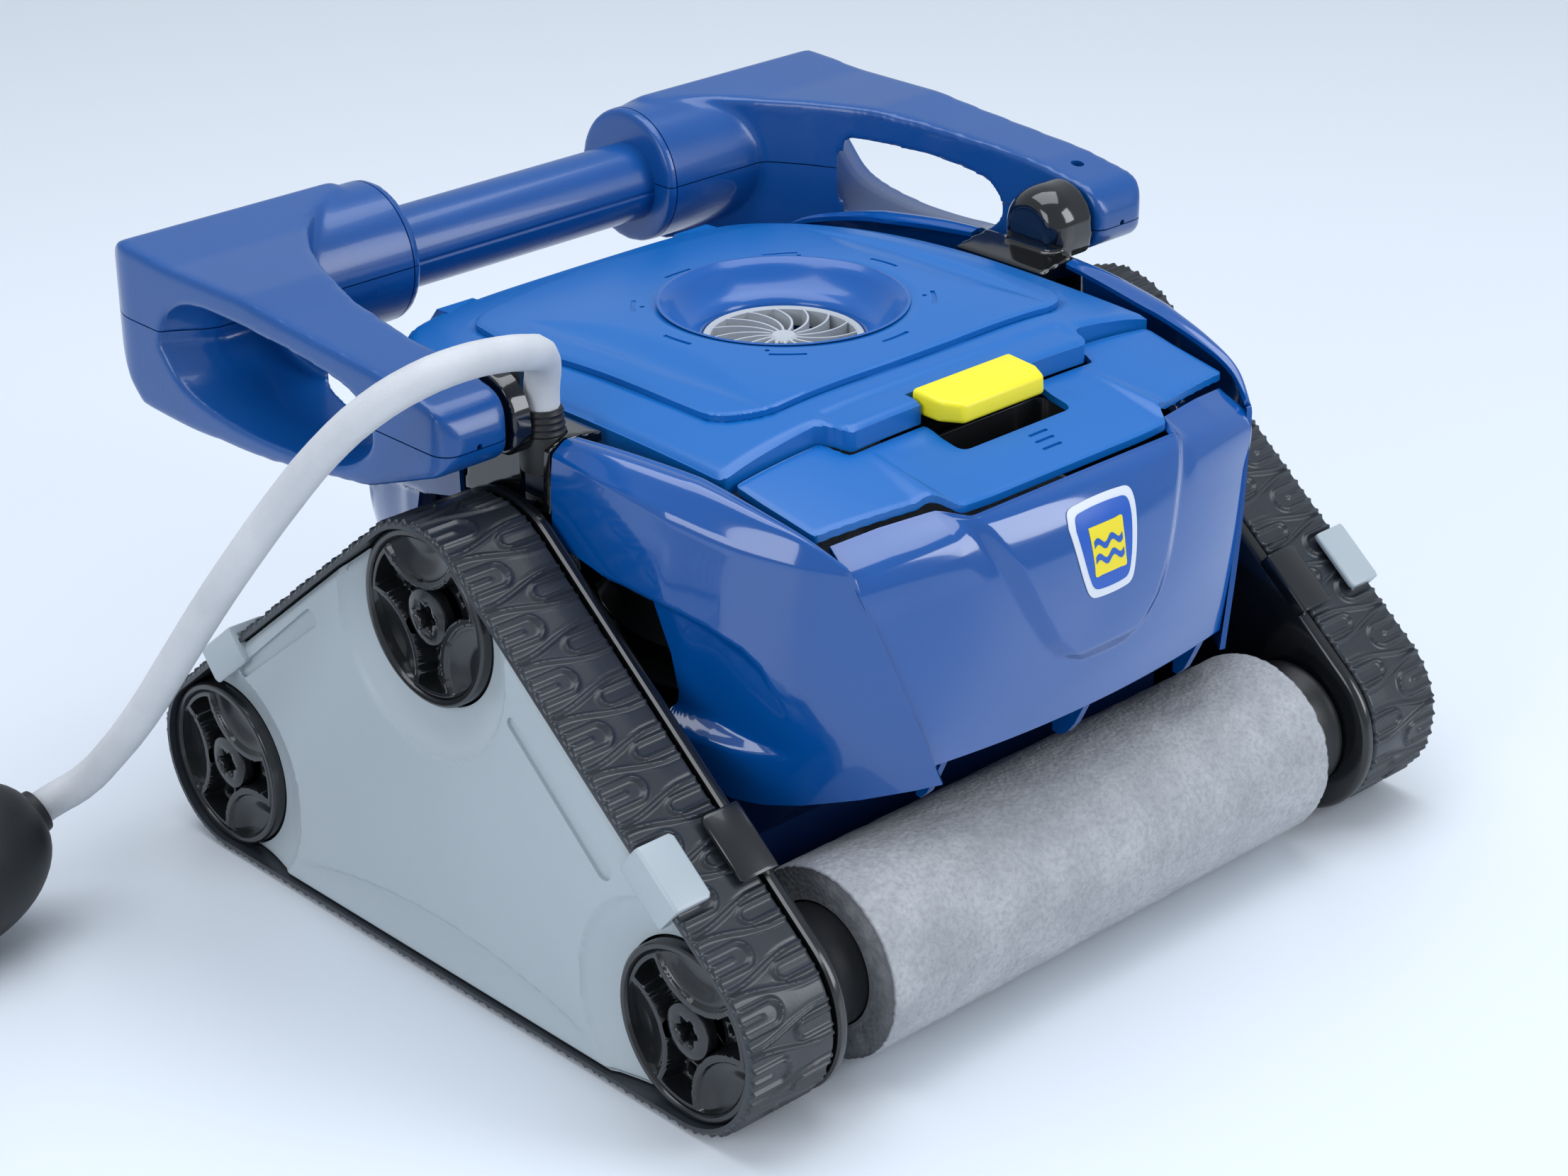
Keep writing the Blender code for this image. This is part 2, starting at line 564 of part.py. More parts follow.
# ---------------------------------------------------------------- side grilles

grille_x = TUB_HALF + GAP
side_grille = prism("side_grille_right", [(-0.078, 0.090), (0.078, 0.090), (0.072, 0.188), (-0.072, 0.188)], grille_x, grille_x + WALL, BLACK)
FINS = 5
for side in (-1, 1):
    for k in range(FINS):
        z = 0.102 + 0.017 * k
        outline = [(0.024, z + 0.006), (0.070, z - 0.002), (0.070, z - 0.0002), (0.024, z + 0.0078)]
        outline = [(side * y, z) for y, z in outline]
        join(side_grille, prism("fin", outline, grille_x + 0.001, 0.1425, BLACK))
cut(side_grille, rod("shaft_hole", AXLE_RADIUS + 0.002, 0.12, 0.15, AXLES["top"], BLACK))
mirrored(side_grille, "side_grille_left")

# ---------------------------------------------------------------- pump, motors and filter

PUMP_RADIUS = 0.029
pump_profile = [
    (TRAY_Z[1] + GAP, 0),
    (TRAY_Z[1] + GAP, PUMP_RADIUS + 0.004),
    (TRAY_Z[1] + 0.004, PUMP_RADIUS + 0.004),
    (TRAY_Z[1] + 0.004, PUMP_RADIUS),
    (0.140, PUMP_RADIUS),
    (0.149, 0.012),
    (0.149, 0),
]
turned("pump_motor", pump_profile, OUTLET, BLACK, axis="Z", steps=28)
IMPELLER_Z = (0.1600, 0.1780)
impeller = rod("impeller", 0.009, 0.1495, IMPELLER_Z[1], OUTLET, GREY, axis="Z", steps=16)
BLADES = 4
for k in range(BLADES):
    blade = block("blade", (0.006, -0.001, -0.0075), (0.027, 0.001, 0.0075), GREY)
    pitch = Matrix.Rotation(math.radians(50), 4, "X")
    turn = Matrix.Rotation(math.tau * k / BLADES, 4, "Z")
    blade.data.transform(Matrix.Translation((*OUTLET, sum(IMPELLER_Z) / 2)) @ turn @ pitch)
    join(impeller, blade)

motor_profile = [(0.060, 0), (0.060, 0.014), (0.064, 0.016), (0.110, 0.016), (0.110, 0.008), (0.1175, 0.008), (0.1175, 0)]
motor = turned("traction_motor_right", motor_profile, AXLES["top"], BLACK, steps=20)
mirrored(motor, "traction_motor_left")

FILTER_Z = (0.062, 0.146)
basket = block("filter_basket", (-0.112, -0.090, FILTER_Z[0]), (0.112, 0.090, FILTER_Z[1]), MESH)
cut(basket, block("basket_inside", (-0.1095, -0.0875, FILTER_Z[0] + 0.0025), (0.1095, 0.0875, 0.2), MESH))
join(basket, rod("chimney", PUMP_RADIUS + 0.005, FILTER_Z[0], FILTER_Z[1], OUTLET, MESH, axis="Z", steps=24))
cut(basket, rod("chimney_bore", PUMP_RADIUS + 0.0025, 0.05, 0.16, OUTLET, MESH, axis="Z", steps=24))

# ---------------------------------------------------------------- handle and its brackets

BRACKET_Y = (-0.0200, 0.0330)
saddle = [(0.1290, 0.2285), (0.1425, 0.2306), (0.1490, 0.2312), (0.1560, 0.2270), (0.1572, 0.1960)]
saddle += [(0.1525, 0.1960), (0.1518, 0.2235), (0.1290, 0.2245)]
DOME_RADIUS = 0.0175
DOME_Y = 0.004
DOME_X = (0.1445, 0.1685)
PIVOT_PIN = 0.005


def make_bracket(name):
    """The black saddle between the fenders, with the domed ear that holds the handle's pin."""
    bracket = prism(name, saddle, *BRACKET_Y, BLACK, axis="Y")
    arch = arc((DOME_Y, PIVOT_Z), DOME_RADIUS, 0, 180, 10)
    arch += [(DOME_Y - DOME_RADIUS, 0.2260), (DOME_Y + DOME_RADIUS, 0.2260)]
    join(bracket, prism("ear", arch, *DOME_X, BLACK))
    cut(bracket, block("cable_mouth", (0.13, -0.03, 0.2312), (0.1600, 0.0002, 0.28), BLACK))
    cut(bracket, rod("cable_hole", 0.0098, 0.19, 0.25, (-GLAND[0], GLAND[1]), BLACK, axis="Z", steps=20))
    return cut(bracket, rod("pin_hole", PIVOT_PIN + GAP, 0.161, 0.18, (0, PIVOT_Z), BLACK))


bracket = make_bracket("pivot_bracket_right")
mirrored(bracket, "pivot_bracket_left")
pin = rod("pivot_pin_right", PIVOT_PIN, 0.1614, 0.1990, (0, PIVOT_Z), STEEL)
mirrored(pin, "pivot_pin_left")

# The arm is the part that its plan and its side view have in common.
ARM_PLAN = [(0.1705, -0.0165), (0.2010, -0.0165), (0.2040, -0.0100), (0.2045, 0.0900), (0.2045, 0.1800)]
ARM_PLAN += [(0.2000, 0.2040), (0.1850, 0.2180), (0.1600, 0.2260), (0.1150, REAR_Y), (0.0740, REAR_Y)]
ARM_PLAN += [(0.0740, 0.1640), (0.1000, 0.1590), (0.1300, 0.1490), (0.1500, 0.1290), (0.1630, 0.0950), (0.1705, 0.0500)]
ARM_SIDE = arc((0, PIVOT_Z), 0.0160, 100, 250, 8)
ARM_SIDE += [(0.0360, 0.2090), (0.1050, 0.1990), (0.1600, 0.1965), (0.1950, 0.1985), (0.2190, 0.2200)]
ARM_SIDE += [(REAR_Y, 0.2390), (0.2220, 0.2620), (0.2060, 0.2700), (0.1600, 0.2685), (0.0880, 0.2645)]
ARM_HOLE = [(0.0380, 0.2300), (0.0600, 0.2115), (0.1250, 0.2080), (0.1560, 0.2130), (0.1760, 0.2300)]
ARM_HOLE += [(0.1680, 0.2480), (0.1500, 0.2560), (0.1000, 0.2540), (0.0450, 0.2460)]


def make_arm(name, z_low, z_high):
    """One half shell of the right arm, above or below the seam."""
    arm = prism(name, ARM_PLAN, z_low, z_high, BLUE, axis="Z")
    combine(arm, prism("side_view", ARM_SIDE, 0.05, 0.23, BLUE), "INTERSECT")
    cut(arm, prism("hole", ARM_HOLE, 0.148, 0.23, BLUE))
    reach_through = [(y, z) for y, z in ARM_HOLE if y < 0.14] + [(0.1380, 0.2150), (0.1380, 0.2500)]
    reach_through.sort(key=lambda p: math.atan2(p[1] - 0.232, p[0] - 0.09))
    cut(arm, prism("hole_through", reach_through, 0.05, 0.23, BLUE))
    cut(arm, rod("grip_bore", GRIP_RADIUS + GAP, 0.05, GRIP_HALF + 0.001, (GRIP_Y, GRIP_Z), BLUE, steps=32))
    return cut(arm, rod("pin_bore", PIVOT_PIN + 0.0005, 0.16, 0.1995, (0, PIVOT_Z), BLUE))


upper = make_arm("arm_upper_right", SEAM_Z + GAP / 2, 0.29)
lower = make_arm("arm_lower_right", 0.18, SEAM_Z - GAP / 2)
mirrored(upper, "arm_upper_left")
mirrored(lower, "arm_lower_left")
rod("grip_tube", GRIP_RADIUS, -GRIP_HALF, GRIP_HALF, (GRIP_Y, GRIP_Z), BLUE, steps=32)

# ---------------------------------------------------------------- cable

GLAND_Z = (0.2160, 0.2400)
gland_profile = [(GLAND_Z[0], 0), (GLAND_Z[0], 0.0095), (0.2315, 0.0095), (GLAND_Z[1], 0.0082), (GLAND_Z[1], 0)]
turned("cord_gland", gland_profile, GLAND, RUBBER, axis="Z", steps=20)

# Out of the gland, over the left arm ahead of its pivot, and down to the float that lies beside the robot.
LEAD_ROUTE = [
    (-0.1500, -0.0090, 0.2418),
    (-0.1500, -0.0091, 0.2485),
    (-0.1512, -0.0120, 0.2590),
    (-0.1570, -0.0175, 0.2675),
    (-0.1690, -0.0240, 0.2735),
    (-0.1860, -0.0285, 0.2785),
    (-0.2050, -0.0295, 0.2805),
    (-0.2220, -0.0250, 0.2770),
    (-0.2370, -0.0140, 0.2660),
    (-0.2480, 0.0010, 0.2480),
    (-0.2560, 0.0190, 0.2240),
    (-0.2620, 0.0400, 0.1960),
    (-0.2660, 0.0620, 0.1670),
    (-0.2690, 0.0850, 0.1360),
    (-0.2715, 0.1080, 0.1060),
    (-0.2750, 0.1300, 0.0800),
    (-0.2800, 0.1480, 0.0610),
    (-0.2905, 0.1595, 0.0507),
]
RUN_ROUTE = [
    (-0.3900, 0.1585, 0.0222),
    (-0.4020, 0.1555, 0.0130),
    (-0.4150, 0.1500, 0.0078),
    (-0.4255, 0.1435, 0.0076),
    (-0.4345, 0.1360, 0.0076),
]
FLOAT_CENTRE = (Vector(LEAD_ROUTE[-1]) + Vector(RUN_ROUTE[0])) / 2
FLOAT_RADIUS = 0.0335
FLOAT_HALF = 0.0470


def cable(name, route):
    """A round tube along a smooth curve through the route's points."""
    spacing = 1.7 * CABLE_RADIUS
    points = [Vector(p) for p in route]
    padded = [2 * points[0] - points[1], *points, 2 * points[-1] - points[-2]]
    fine = []
    for before, start, end, after in zip(padded, padded[1:], padded[2:], padded[3:]):
        for k in range(12):
            t = k / 12
            blend = 2 * start + t * (end - before)
            blend += t**2 * (2 * before - 5 * start + 4 * end - after)
            blend += t**3 * (3 * start - before - 3 * end + after)
            fine.append(blend / 2)
    fine.append(points[-1])
    length = sum((b - a).length for a, b in zip(fine, fine[1:]))
    count = max(2, round(length / spacing))
    kept, walked, goal = [fine[0]], 0.0, length / count
    for a, b in zip(fine, fine[1:]):
        walked += (b - a).length
        if walked >= goal and len(kept) < count:
            kept.append(b)
            goal += length / count
    kept.append(fine[-1])
    curve = bpy.data.curves.new(name, "CURVE")
    curve.dimensions = "3D"
    curve.bevel_depth = CABLE_RADIUS
    curve.bevel_resolution = 2
    curve.use_fill_caps = True
    spline = curve.splines.new("POLY")
    spline.points.add(len(kept) - 1)
    for place, point in zip(spline.points, kept):
        place.co = (*point, 1)
    curve.materials.append(CABLE)
    part = bpy.data.objects.new(name, curve)
    bpy.context.scene.collection.objects.link(part)
    part.parent = assembly
    return part


cable("cord_lead", LEAD_ROUTE)
cable("cord_run", RUN_ROUTE)

float_profile = []
for k in range(13):
    angle = math.pi * k / 12
    float_profile.append((-FLOAT_HALF * math.cos(angle), FLOAT_RADIUS * math.sin(angle) ** 0.8))
float_profile[0] = (-FLOAT_HALF, 0)
float_profile[-1] = (FLOAT_HALF, 0)
cable_float = turned("cable_float", float_profile, (0, 0), RUBBER, steps=24)
axis_of_float = Vector(RUN_ROUTE[0]) - Vector(LEAD_ROUTE[-1])
turn_float = axis_of_float.to_track_quat("X", "Z").to_matrix().to_4x4()
cable_float.data.transform(Matrix.Translation(FLOAT_CENTRE) @ turn_float)

coil_half = COIL_WIDE * CABLE_RADIUS
coil_top = COIL_HIGH * 2 * CABLE_RADIUS
tube("cord_coil", COIL_RADIUS - coil_half, COIL_RADIUS + coil_half, 0.0002, coil_top, COIL_CENTRE, CABLE, axis="Z", steps=48)

connector_profile = [(0, 0), (0, 0.0085), (0.022, 0.0105), (0.024, 0.0150), (0.052, 0.0150), (0.052, 0.0110), (0.064, 0.0110), (0.064, 0)]
connector = turned("connector_plug", connector_profile, (0, 0), BLACK, steps=20)
connector.data.transform(Matrix.Translation((COIL_CENTRE[0] - 0.015, COIL_CENTRE[1] + 0.043, 0.0153)))
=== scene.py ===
"""Looks for a tracked pool-cleaning robot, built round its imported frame. Metres, +Z up, the front faces -Y."""

import math

import bpy
from mathutils import Matrix, Vector, noise


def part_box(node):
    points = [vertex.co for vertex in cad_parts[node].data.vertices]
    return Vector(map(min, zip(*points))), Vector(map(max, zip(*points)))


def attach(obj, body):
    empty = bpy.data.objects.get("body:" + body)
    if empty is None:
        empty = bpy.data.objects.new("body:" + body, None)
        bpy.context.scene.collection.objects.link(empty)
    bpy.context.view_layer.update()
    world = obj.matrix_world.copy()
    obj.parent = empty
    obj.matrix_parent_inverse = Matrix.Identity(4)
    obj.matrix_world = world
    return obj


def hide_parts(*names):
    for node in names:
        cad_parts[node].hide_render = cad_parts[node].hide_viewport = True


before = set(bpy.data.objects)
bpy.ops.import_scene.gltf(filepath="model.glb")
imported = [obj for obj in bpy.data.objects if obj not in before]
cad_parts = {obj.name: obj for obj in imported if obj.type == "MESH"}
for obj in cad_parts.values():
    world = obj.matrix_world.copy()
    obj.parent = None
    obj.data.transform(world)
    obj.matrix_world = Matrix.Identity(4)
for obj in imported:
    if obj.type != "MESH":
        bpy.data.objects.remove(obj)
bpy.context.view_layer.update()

# ------------------------------------------------------------------ The place it stands in
# A plain pale table top under large soft lamps, and the camera above the robot's front left corner.
# The three wheels of a track set the robot's own middle: everything is placed along Y from there.


def srgb(code):
    """A hex colour as Blender's linear RGBA."""
    shares = [int(code[k : k + 2], 16) / 255 for k in (1, 3, 5)]
    return (*[s / 12.92 if s <= 0.04045 else ((s + 0.055) / 1.055) ** 2.4 for s in shares], 1.0)


def add_node(tree, kind, inputs=None, **settings):
    """A new node: settings are its properties, inputs are values or other nodes' outputs for its sockets."""
    made = tree.nodes.new("ShaderNode" + kind)
    for name, value in settings.items():
        setattr(made, name, value)
    for socket, value in (inputs or {}).items():
        if isinstance(value, bpy.types.NodeSocket):
            tree.links.new(value, made.inputs[socket])
        else:
            made.inputs[socket].default_value = value
    return made


def blank_material(name):
    """A new material with its node tree and its surface shader."""
    made = bpy.data.materials.new(name)
    made.use_nodes = True
    return made, made.node_tree, made.node_tree.nodes["Principled BSDF"]


front_wheel, rear_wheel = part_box("wheel_right_front"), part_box("wheel_right_rear")
MIDDLE_Y = (front_wheel[0].y + rear_wheel[1].y) / 2


def middle_of(name):
    """(y, z) of the middle of an engineered part, with y measured from the robot's own middle."""
    low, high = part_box(name)
    return (low.y + high.y) / 2 - MIDDLE_Y, (low.z + high.z) / 2


FRONT_AXLE_Y, LOW_AXLE_Z = middle_of("wheel_right_front")

camera_data = bpy.data.cameras.new("camera")
camera_data.sensor_width = 36
camera_data.lens = 77.63
camera_data.clip_end = 30
camera = bpy.data.objects.new("camera", camera_data)
bpy.context.scene.collection.objects.link(camera)
AZIMUTH, ELEVATION, ROLL = math.radians(-43.47), math.radians(25.395), -0.00533
stand = Matrix.Translation((-0.9274, -0.96664 + MIDDLE_Y, 0.74587))
aim = Matrix.Rotation(AZIMUTH, 4, "Z") @ Matrix.Rotation(math.pi / 2 - ELEVATION, 4, "X")
camera.matrix_world = stand @ aim @ Matrix.Rotation(ROLL, 4, "Z")
bpy.context.scene.camera = camera
bpy.context.scene.view_settings.view_transform = "Standard"

world = bpy.data.worlds.new("studio")
world.use_nodes = True
world.node_tree.nodes["Background"].inputs["Color"].default_value = srgb("#dfe8f2")
world.node_tree.nodes["Background"].inputs["Strength"].default_value = 0.62
bpy.context.scene.world = world

LAMPS = {
    # name: (place, aimed at, width, height, power in watts)
    "ceiling_panel": ((0.1, 0.2, 1.9), (0, 0, 0.1), 2.0, 1.4, 26),
    "front_window": ((1.1, -1.9, 1.1), (0, -0.1, 0.1), 0.9, 1.3, 20),
    "left_window": ((-2.0, -0.3, 0.9), (0, 0, 0.12), 1.1, 1.0, 13),
}
for name, (place, target, width, height, power) in LAMPS.items():
    lamp_data = bpy.data.lights.new(name, "AREA")
    lamp_data.shape = "RECTANGLE"
    lamp_data.size, lamp_data.size_y = width, height
    lamp_data.energy = power
    lamp_data.color = srgb("#f4f8ff")[:3]
    lamp = bpy.data.objects.new(name, lamp_data)
    bpy.context.scene.collection.objects.link(lamp)
    lamp.location = place
    lamp.rotation_euler = (Vector(target) - Vector(place)).to_track_quat("-Z", "Y").to_euler()

bpy.ops.object.select_all(action="DESELECT")
bpy.ops.mesh.primitive_plane_add(size=14, location=(0, 0, -0.0004))
table_top = bpy.context.object
table_top.name = "table_top"
laminate, tree, surface = blank_material("white_laminate")
cloud = add_node(tree, "TexNoise", {"Scale": 3.0, "Detail": 3.0})
tint = add_node(tree, "Mix", {0: cloud.outputs[0], 6: srgb("#e3e9f0"), 7: srgb("#edf2f7")}, data_type="RGBA")
tree.links.new(tint.outputs[2], surface.inputs["Base Color"])
surface.inputs["Roughness"].default_value = 0.38
table_top.data.materials.append(laminate)

# ------------------------------------------------------------------ Floating power cable
# One continuous cable: a foamed pale grey sheath, 14.5 mm thick, that floats on the pool. It leaves the left
# pivot bracket, lies over the handle's arm, runs through a black float and ends in a coil beside the robot.

CABLE = 0.0145
LEAD_ROUTE = [
    (-0.15, -0.009, 0.2418),
    (-0.15, -0.0091, 0.2485),
    (-0.1512, -0.012, 0.259),
    (-0.157, -0.0175, 0.2675),
    (-0.169, -0.024, 0.2735),
    (-0.186, -0.0285, 0.2785),
    (-0.205, -0.0295, 0.2805),
    (-0.222, -0.025, 0.277),
    (-0.237, -0.014, 0.266),
    (-0.248, 0.001, 0.248),
    (-0.256, 0.019, 0.224),
    (-0.262, 0.04, 0.196),
    (-0.266, 0.062, 0.167),
    (-0.269, 0.085, 0.136),
    (-0.2715, 0.108, 0.106),
    (-0.275, 0.13, 0.08),
    (-0.28, 0.148, 0.061),
    (-0.2905, 0.1595, 0.0507),
]
RUN_ROUTE = [
    (-0.39, 0.1585, 0.0222),
    (-0.402, 0.1555, 0.013),
    (-0.415, 0.15, 0.0078),
    (-0.4255, 0.1435, 0.0076),
    (-0.4345, 0.136, 0.0076),
]
COIL_CENTRE = Vector((-0.62, 0.12))
COIL_LANES = 6
COIL_LAYERS = 3
COIL_MEAN = 0.13
POINTS_A_TURN = 24
INNER_LANE = COIL_MEAN - (COIL_LANES - 1) / 2 * CABLE
OUTER_LANE = COIL_MEAN + (COIL_LANES - 1) / 2 * CABLE


def coil_point(angle, radius, height):
    return (COIL_CENTRE.x + radius * math.cos(angle), COIL_CENTRE.y + radius * math.sin(angle), height)


def eased(t):
    return t * t * (3 - 2 * t)


# Each layer is wound a lane at a time: most of a turn is a true circle, and its end steps into the next lane.
route = list(LEAD_ROUTE)
route += [tuple((Vector(LEAD_ROUTE[-1]) * (3 - k) + Vector(RUN_ROUTE[0]) * k) / 3) for k in (1, 2)]
route += RUN_ROUTE
angle = math.radians(2)
radius = OUTER_LANE
height = CABLE / 2 + 0.0004
for layer in range(COIL_LAYERS):
    inward = layer % 2 == 0
    for lane in range(COIL_LANES):
        last_lane = lane == COIL_LANES - 1
        for k in range(POINTS_A_TURN):
            step = eased(max(0.0, (k / POINTS_A_TURN - 0.75) / 0.25))
            move = 0.0 if last_lane else (-CABLE if inward else CABLE) * step
            rise = CABLE * step if last_lane and layer < COIL_LAYERS - 1 else 0.0
            route.append(coil_point(angle, radius + move, height + rise))
            angle -= math.tau / POINTS_A_TURN
        if not last_lane:
            radius += -CABLE if inward else CABLE
    if layer < COIL_LAYERS - 1:
        height += CABLE

# The last layer ends on the outside, so the cable drops inwards: the tail lies down in the coil's eye.
TAIL = [(-30, 0.088, 0.0363), (-60, 0.081, 0.034), (-95, 0.0765, 0.024), (-130, 0.073, 0.0135)]
TAIL += [(-165, 0.068, 0.0085), (-200, 0.061, 0.009), (-230, 0.05, 0.0125)]
PLUG_START = Vector((COIL_CENTRE.x - 0.015, COIL_CENTRE.y + 0.043, 0.0153))
route += [coil_point(math.radians(degrees), radius, height) for degrees, radius, height in TAIL]
route += [tuple(PLUG_START + Vector((step, 0, 0))) for step in (-0.002, 0.01)]

sheath_curve = bpy.data.curves.new("cable", "CURVE")
sheath_curve.dimensions = "3D"
sheath_curve.bevel_depth = CABLE / 2
sheath_curve.bevel_resolution = 3
sheath_curve.resolution_u = 3
sheath_curve.render_resolution_u = 0
sheath_curve.use_fill_caps = True
spline = sheath_curve.splines.new("BEZIER")
spline.bezier_points.add(len(route) - 1)
for knot, point in zip(spline.bezier_points, route):
    knot.co = Vector(point) + Vector((0, MIDDLE_Y, 0))
    knot.handle_left_type = knot.handle_right_type = "AUTO"
cable = bpy.data.objects.new("cable", sheath_curve)
bpy.context.scene.collection.objects.link(cable)

# Foamed thermoplastic rubber: matte, with a fine drawn grain and the faint grime of a pool's edge.
foam_sheath, tree, surface = blank_material("foamed_cable_sheath")
place = add_node(tree, "TexCoord")
GRAIN = 0.0009
grime = add_node(tree, "TexNoise", {"Vector": place.outputs["Object"], "Scale": 38.0, "Detail": 5.0})
tint = add_node(tree, "Mix", {0: grime.outputs[0], 6: srgb("#b9bcc1"), 7: srgb("#d9dbde")}, data_type="RGBA")
grain = add_node(tree, "TexNoise", {"Vector": place.outputs["Object"], "Scale": 1 / GRAIN, "Detail": 3.0})
relief = add_node(tree, "Bump", {"Height": grain.outputs[0], "Strength": 0.35, "Distance": 0.0004})
tree.links.new(tint.outputs[2], surface.inputs["Base Color"])
tree.links.new(relief.outputs[0], surface.inputs["Normal"])
surface.inputs["Roughness"].default_value = 0.62
sheath_curve.materials.append(foam_sheath)

# ------------------------------------------------------------------ Cable float
# A hollow blow-moulded float of matte black polyethylene, clamped on the cable by its two short collars.
# Its skin is as it came from the mould, and it bulges evenly to its middle.


def skin(name, around, along, form):
    """A grid whose every point is moved to form(u, v), with its seams and poles then merged."""
    bpy.ops.object.select_all(action="DESELECT")
    bpy.ops.mesh.primitive_grid_add(x_subdivisions=around, y_subdivisions=along, size=1)
    piece = bpy.context.object
    piece.name = name
    for vertex in piece.data.vertices:
        vertex.co = form(min(max(vertex.co.x + 0.5, 0), 1), min(max(vertex.co.y + 0.5, 0), 1))
    bpy.ops.object.mode_set(mode="EDIT")
    bpy.ops.mesh.select_all(action="SELECT")
    bpy.ops.mesh.remove_doubles(threshold=0.000004)
    bpy.ops.mesh.normals_make_consistent(inside=False)
    mesh = piece.data
    bpy.ops.object.mode_set(mode="OBJECT")
    volume = sum(face.center.dot(face.normal) * face.area for face in mesh.polygons)
    if 2 * len(mesh.edges) == len(mesh.loops) and volume < 0:
        mesh.flip_normals()
    return piece


def turned(name, profile, steps, axis="X", centre=(0, 0, 0)):
    """A lathe-turned or round-moulded piece: (along, radius) points about an axis through centre."""
    turn_to = {
        "X": Matrix(), "Y": Matrix.Rotation(math.pi / 2, 4, "Z"), "Z": Matrix.Rotation(-math.pi / 2, 4, "Y"),
    }
    place = Matrix.Translation(centre) @ turn_to[axis]

    def form(u, v):
        along, radius = profile[round(v * (len(profile) - 1))]
        return place @ Vector((along, radius * math.cos(math.tau * u), radius * math.sin(math.tau * u)))

    return skin(name, steps, len(profile) - 1, form)


def modify(piece, kind, **settings):
    """Adds a modifier to a piece and applies it."""
    bpy.ops.object.select_all(action="DESELECT")
    bpy.context.view_layer.objects.active = piece
    piece.select_set(True)
    step = piece.modifiers.new(kind.lower(), kind)
    for name, value in settings.items():
        setattr(step, name, value)
    bpy.ops.object.modifier_apply(modifier=step.name)
    return piece


def round_edges(piece, width, segments, sharper):
    """Rounds the edges that are sharper than that many degrees."""
    modify(
        piece, "BEVEL", width=width, segments=segments, limit_method="ANGLE",
        angle_limit=math.radians(sharper),
    )


def settle(piece, body, *replaced, slot=None, look=None, smooth=32):
    """Finishes a piece: into the robot's place, smooth shaded, coloured, and riding on its body."""
    bpy.ops.object.select_all(action="DESELECT")
    bpy.context.view_layer.objects.active = piece
    piece.select_set(True)
    piece.location.y += MIDDLE_Y
    bpy.ops.object.transform_apply(location=True, rotation=True, scale=True)
    bpy.ops.object.shade_smooth_by_angle(angle=math.radians(smooth))
    if look:
        piece.data.materials.clear()
        piece.data.materials.append(look)
    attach(piece, body)
    if replaced:
        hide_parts(*replaced)
    return piece


def moulded(name, low, high, roughness, grain=0.0, strength=0.2, mottle=40.0, coat=0.0):
    """A moulded plastic or rubber: two close hues in soft clouds, uneven gloss, and a grain in metres."""
    made, tree, surface = blank_material(name)
    place = add_node(tree, "TexCoord")
    cloud = add_node(tree, "TexNoise", {"Vector": place.outputs["Object"], "Scale": mottle, "Detail": 4.0})
    tint = add_node(tree, "Mix", {0: cloud.outputs[0], 6: srgb(low), 7: srgb(high)}, data_type="RGBA")
    gloss = add_node(tree, "MapRange", {0: cloud.outputs[0], 3: roughness * 0.85, 4: roughness * 1.15})
    tree.links.new(tint.outputs[2], surface.inputs["Base Color"])
    tree.links.new(gloss.outputs[0], surface.inputs["Roughness"])
    if grain:
        fine = add_node(
            tree, "TexNoise", {"Vector": place.outputs["Object"], "Scale": 1 / grain, "Detail": 2.0},
        )
        relief = add_node(
            tree, "Bump", {"Height": fine.outputs[0], "Strength": strength, "Distance": grain / 3},
        )
        tree.links.new(relief.outputs[0], surface.inputs["Normal"])
    surface.inputs["Coat Weight"].default_value = coat
    surface.inputs["Coat Roughness"].default_value = 0.04
    return made


FLOAT_RADIUS = 0.0335
FLOAT_HALF = 0.047
BORE = CABLE / 2 + 0.0002
float_profile = [(-FLOAT_HALF, BORE), (-FLOAT_HALF, BORE + 0.0022), (-FLOAT_HALF + 0.0035, BORE + 0.0028)]
for k in range(1, 24):
    along = -math.cos(math.pi * k / 24)
    bulge = 0.01 + (FLOAT_RADIUS - 0.01) * (1 - abs(along) ** 2.2) ** 0.62
    float_profile.append((along * (FLOAT_HALF - 0.0035), bulge))
float_profile += [(FLOAT_HALF - 0.0035, BORE + 0.0028), (FLOAT_HALF, BORE + 0.0022), (FLOAT_HALF, BORE)]
float_profile += [(-FLOAT_HALF, BORE)]
cable_float = turned("cable_float_moulding", float_profile, 56)
float_line = Vector(RUN_ROUTE[0]) - Vector(LEAD_ROUTE[-1])
turn_float = float_line.to_track_quat("X", "Z").to_matrix().to_4x4()
float_centre = (Vector(RUN_ROUTE[0]) + Vector(LEAD_ROUTE[-1])) / 2
cable_float.matrix_world = Matrix.Translation(float_centre) @ turn_float
black_float = moulded("black_polyethylene", "#101112", "#1a1b1d", 0.5, grain=0.0007, strength=0.25)
settle(cable_float, "hull", "cable_float", slot="black_rubber", look=black_float, smooth=40)

# ------------------------------------------------------------------ Connector plug
# The cable's watertight connector: a black polyamide body with a ribbed coupling nut and a rubber boot.
# It is moulded round the cable's end, which lies in the eye of the coil.

NUT_RADIUS = 0.0148
RIBS = 18


